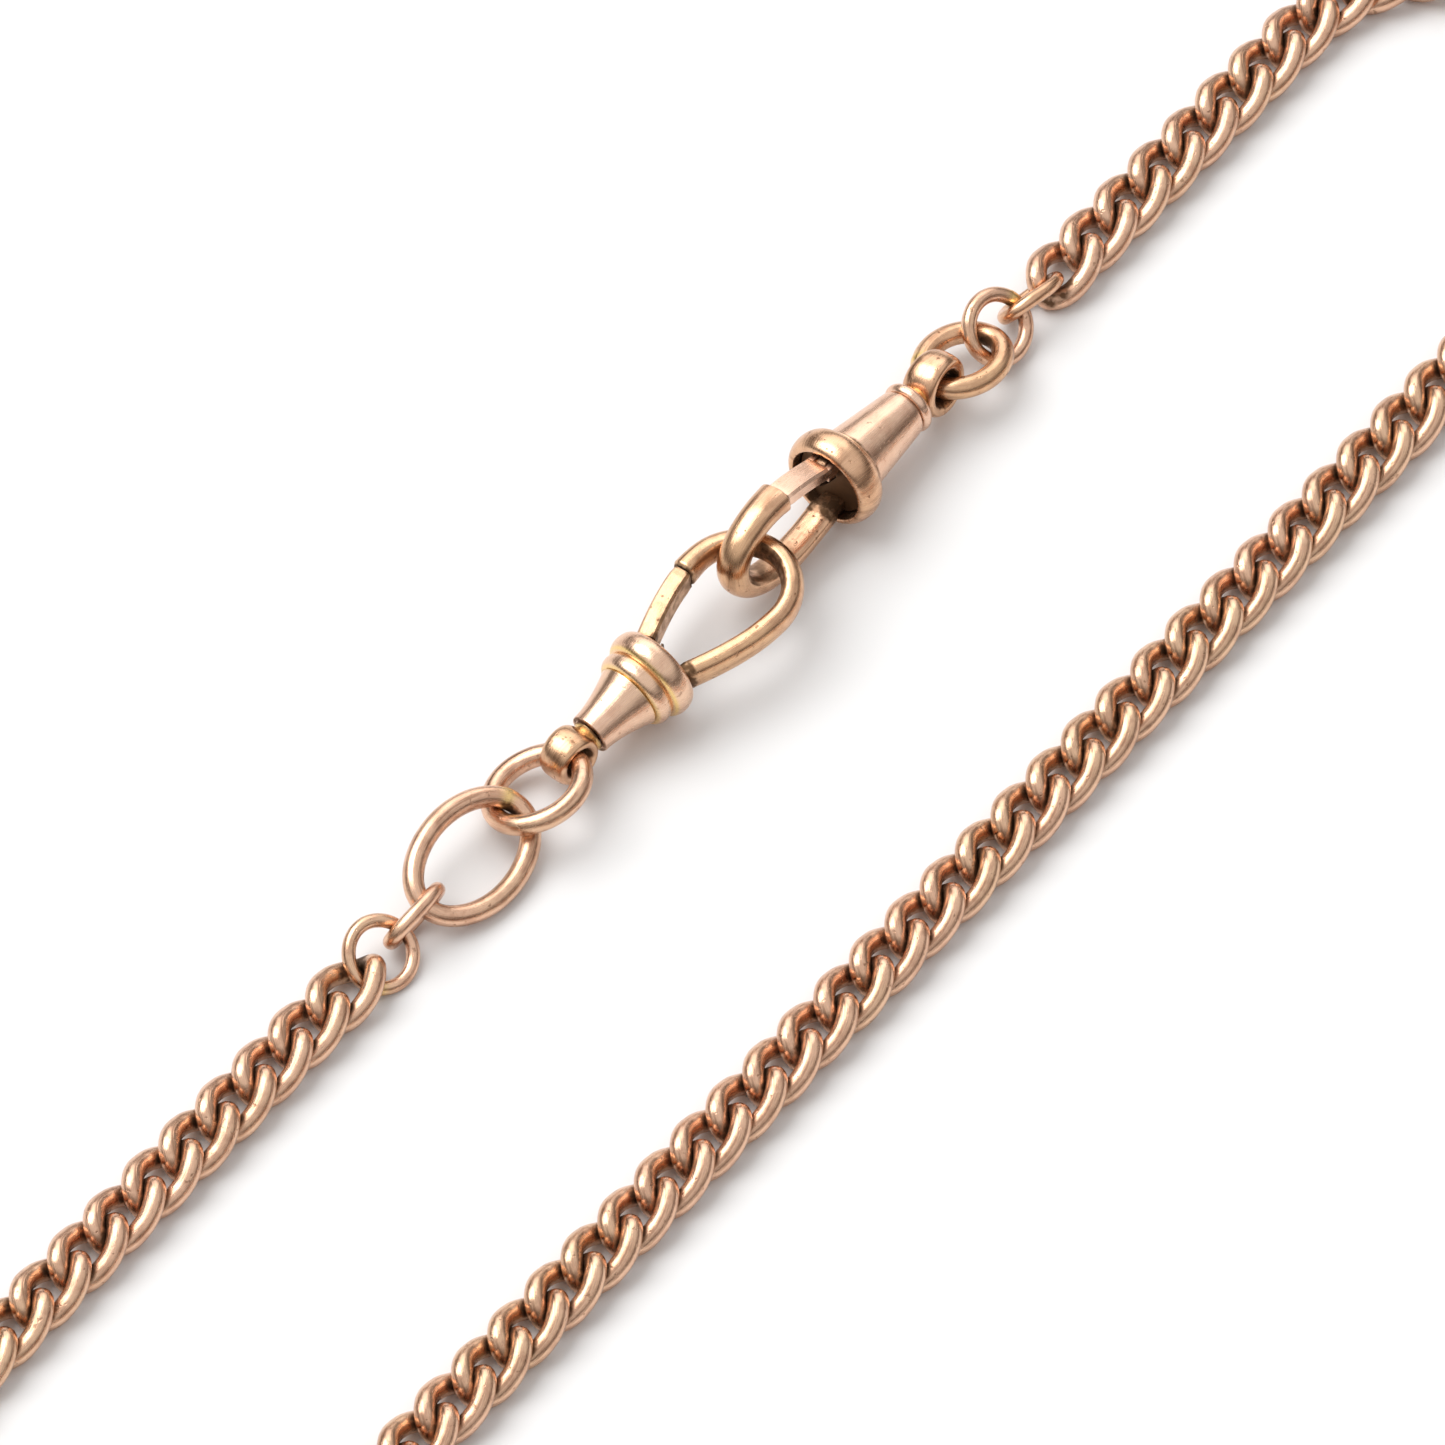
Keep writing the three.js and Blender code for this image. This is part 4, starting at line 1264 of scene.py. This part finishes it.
@dataclass
class WatchChain:
    """The whole chain.

    Attributes:
        ring_gap: Play between rings that hang in each other.
        link_gap: Play between curb links.
        curb_wire: Wire of the CAD curb links.
        pitch: Of the curb links.
        count: Of the curb links.
    """

    ring_gap: float = 0.3
    link_gap: float = 0.3
    curb_wire: float = 1.16
    pitch: float = 4.0
    count: int = 78

    @property
    def curb_half(self) -> float:
        """Half length of a CAD curb link's centre line."""
        return (self.pitch + self.link_gap + self.curb_wire) / 2

    def run_length(self, rings: list[Ring]) -> float:
        """From the eye's crossing to the first curb link's near end."""
        after = [ring.wire for ring in rings[1:]] + [self.curb_wire]
        overlap = sum((ring.wire + wire) / 2 + self.ring_gap for ring, wire in zip(rings, after))
        return sum(2 * ring.half_length for ring in rings) - overlap

    def crossing(self, clip: Clip) -> float:
        """Where the first ring's wire crosses a clip's eye, along the route."""
        back, pitch = clip.seat[0], clip.seat[3]
        return back + math.copysign(clip.eye_reach * math.cos(math.radians(pitch)), back)

    def lay_rings(self, rings: list[Ring], start: float, way: Way, height: float, loop: Loop,
                  finishes: dict[str, Finish]) -> None:
        """Lays the rings one after another.

        Args:
            rings: In order from the clip's eye.
            start: Of the first, along the route.
            way: Which way they go.
            height: Of the last crossing, with the first curb link.
            loop: The route.
            finishes: The finishes by gold name.
        """
        at = start
        joins = [ring.join for ring in rings[1:]] + [height]
        wires = [ring.wire for ring in rings[1:]] + [self.curb_wire]
        for seed, (ring, after, wire) in enumerate(zip(rings, joins, wires)):
            pitch = math.degrees(math.asin((after - ring.join) / (2 * ring.half_length)))
            middle = loop.frame(at + way.value * ring.half_length, (ring.join + after) / 2)
            place = middle @ turn(1, -way.value * pitch) @ turn(0, ring.roll)
            ring.build(place, finishes, seed + 40 * way.value + 60)
            at += way.value * (2 * ring.half_length - (ring.wire + wire) / 2 - self.ring_gap)

    def build(self) -> Loop:
        """Makes every piece.

        Returns:
            The route that they lie on.
        """
        starts = {Way.UPPER: self.crossing(UPPER_CLIP), Way.LOWER: self.crossing(LOWER_CLIP)}
        first = {
            Way.UPPER: starts[Way.UPPER] + self.run_length(UPPER_RINGS) + self.curb_half,
            Way.LOWER: starts[Way.LOWER] - self.run_length(LOWER_RINGS) - self.curb_half,
        }
        length = first[Way.UPPER] - first[Way.LOWER] + (self.count - 1) * self.pitch
        loop = Loop(length)
        seen = box_centre("upper_curb_01")
        loop.origin = seen - loop.frame(first[Way.UPPER], 0)[:3, 3]
        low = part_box("upper_curb_01")[0][2] / MM
        height = seen[2] - low
        loop.origin[2] = low
        finishes = {gold.name: finish(gold) for gold in (ROSE, PEACH, BRASSY, DULL, LEAF)}
        for clip in (UPPER_CLIP, LOWER_CLIP):
            clip.build(loop, finishes)
        self.lay_rings(UPPER_RINGS, starts[Way.UPPER], Way.UPPER, height, loop, finishes)
        self.lay_rings(LOWER_RINGS, starts[Way.LOWER], Way.LOWER, height, loop, finishes)
        Curb(loop, first, height).build(finishes)
        return loop


# ---------------------------------------------------------------- studio


@dataclass
class Studio:
    """The table, the light and the camera.

    Attributes:
        aim: The point that the camera looks at, in millimetres.
        azimuth: Of the camera's heading; 0 looks along +Y.
        elevation: Above the horizon.
        distance: To the aim.
        lens: Focal length for a 36 mm sensor.
    """

    aim: tuple[float, float, float] = (0.0, 7.06, 1.5)
    azimuth: float = -51.0
    elevation: float = 55.0
    distance: float = 1100.0
    lens: float = 385.0

    def floor(self) -> None:
        """A plain pale table, a little below the chain's lowest point."""
        mesh = bpy.data.meshes.new("table")
        r, z = 3.0, CAD_BOX[0][2] - 0.00002
        mesh.from_pydata([(-r, -r, z), (r, -r, z), (r, r, z), (-r, r, z)], [], [(0, 1, 2, 3)])
        table = bpy.data.objects.new("table", mesh)
        bpy.context.scene.collection.objects.link(table)
        g = Graph("pale_table")
        shader = g.add("BsdfPrincipled", {"Base Color": (0.84, 0.84, 0.84, 1), "Roughness": 0.6})
        g.tree.links.new(shader.outputs[0], g.output.inputs[0])
        mesh.materials.append(g.material)

    def sky(self) -> None:
        """A white studio whose walls are dark near the horizon."""
        world = bpy.data.worlds.new("studio")
        bpy.context.scene.world = world
        world.use_nodes = True
        tree = world.node_tree
        tree.nodes.clear()
        output = tree.nodes.new("ShaderNodeOutputWorld")
        background = tree.nodes.new("ShaderNodeBackground")
        coords = tree.nodes.new("ShaderNodeTexCoord")
        parts = tree.nodes.new("ShaderNodeSeparateXYZ")
        ramp = tree.nodes.new("ShaderNodeValToRGB")
        tree.links.new(coords.outputs["Generated"], parts.inputs[0])
        tree.links.new(parts.outputs["Z"], ramp.inputs[0])
        stops = ramp.color_ramp.elements
        stops[0].position, stops[0].color = 0.0, (0.30, 0.27, 0.25, 1)
        stops[1].position, stops[1].color = 1.0, (1.0, 1.0, 1.0, 1)
        for at, colour in ((0.22, (0.16, 0.135, 0.12, 1)), (0.42, (0.45, 0.42, 0.40, 1)),
                           (0.62, (1.0, 0.99, 0.98, 1))):
            stop = stops.new(at)
            stop.color = colour
        tree.links.new(ramp.outputs[0], background.inputs["Color"])
        background.inputs["Strength"].default_value = 0.8
        tree.links.new(background.outputs[0], output.inputs[0])

    def lamp(self, name: str, heading: float, height: float, size: float, power: float) -> None:
        """A square soft light.

        Args:
            name: Its name.
            heading: Azimuth that it shines along, as the camera's.
            height: Its elevation.
            size: Its side, in metres.
            power: In watts.
        """
        data = bpy.data.lights.new(name, "AREA")
        data.shape = "SQUARE"
        data.size = size
        data.energy = power
        lamp = bpy.data.objects.new(name, data)
        bpy.context.scene.collection.objects.link(lamp)
        a, e = math.radians(heading), math.radians(height)
        ahead = Vector((-math.sin(a) * math.cos(e), math.cos(a) * math.cos(e), -math.sin(e)))
        lamp.location = Vector(self.aim) * MM - ahead * 1.2
        lamp.rotation_euler = ahead.to_track_quat("-Z", "Y").to_euler()

    def camera(self) -> None:
        """The camera, from its heading and distance."""
        data = bpy.data.cameras.new("camera")
        data.lens = self.lens
        data.sensor_width = 36.0
        data.clip_end = 50.0
        camera = bpy.data.objects.new("camera", data)
        bpy.context.scene.collection.objects.link(camera)
        a, e = math.radians(self.azimuth), math.radians(self.elevation)
        ahead = Vector((-math.sin(a) * math.cos(e), math.cos(a) * math.cos(e), -math.sin(e)))
        camera.location = Vector(self.aim) * MM - ahead * self.distance * MM
        camera.rotation_euler = ahead.to_track_quat("-Z", "Y").to_euler()
        bpy.context.scene.camera = camera

    def build(self) -> None:
        """Makes the table, the light and the camera."""
        self.camera()
        self.floor()
        self.sky()
        self.lamp("key_light", self.azimuth - 115, 58, 0.95, 10)
        self.lamp("far_light", self.azimuth + 180, 36, 1.0, 3.6)
        scene = bpy.context.scene
        scene.view_settings.view_transform = "Standard"


def main() -> None:
    """Builds the studio and the chain."""
    logging.basicConfig(level=logging.INFO, format="%(name)s %(message)s")
    Studio().build()
    WatchChain().build()


if __name__ == "__main__":
    main()
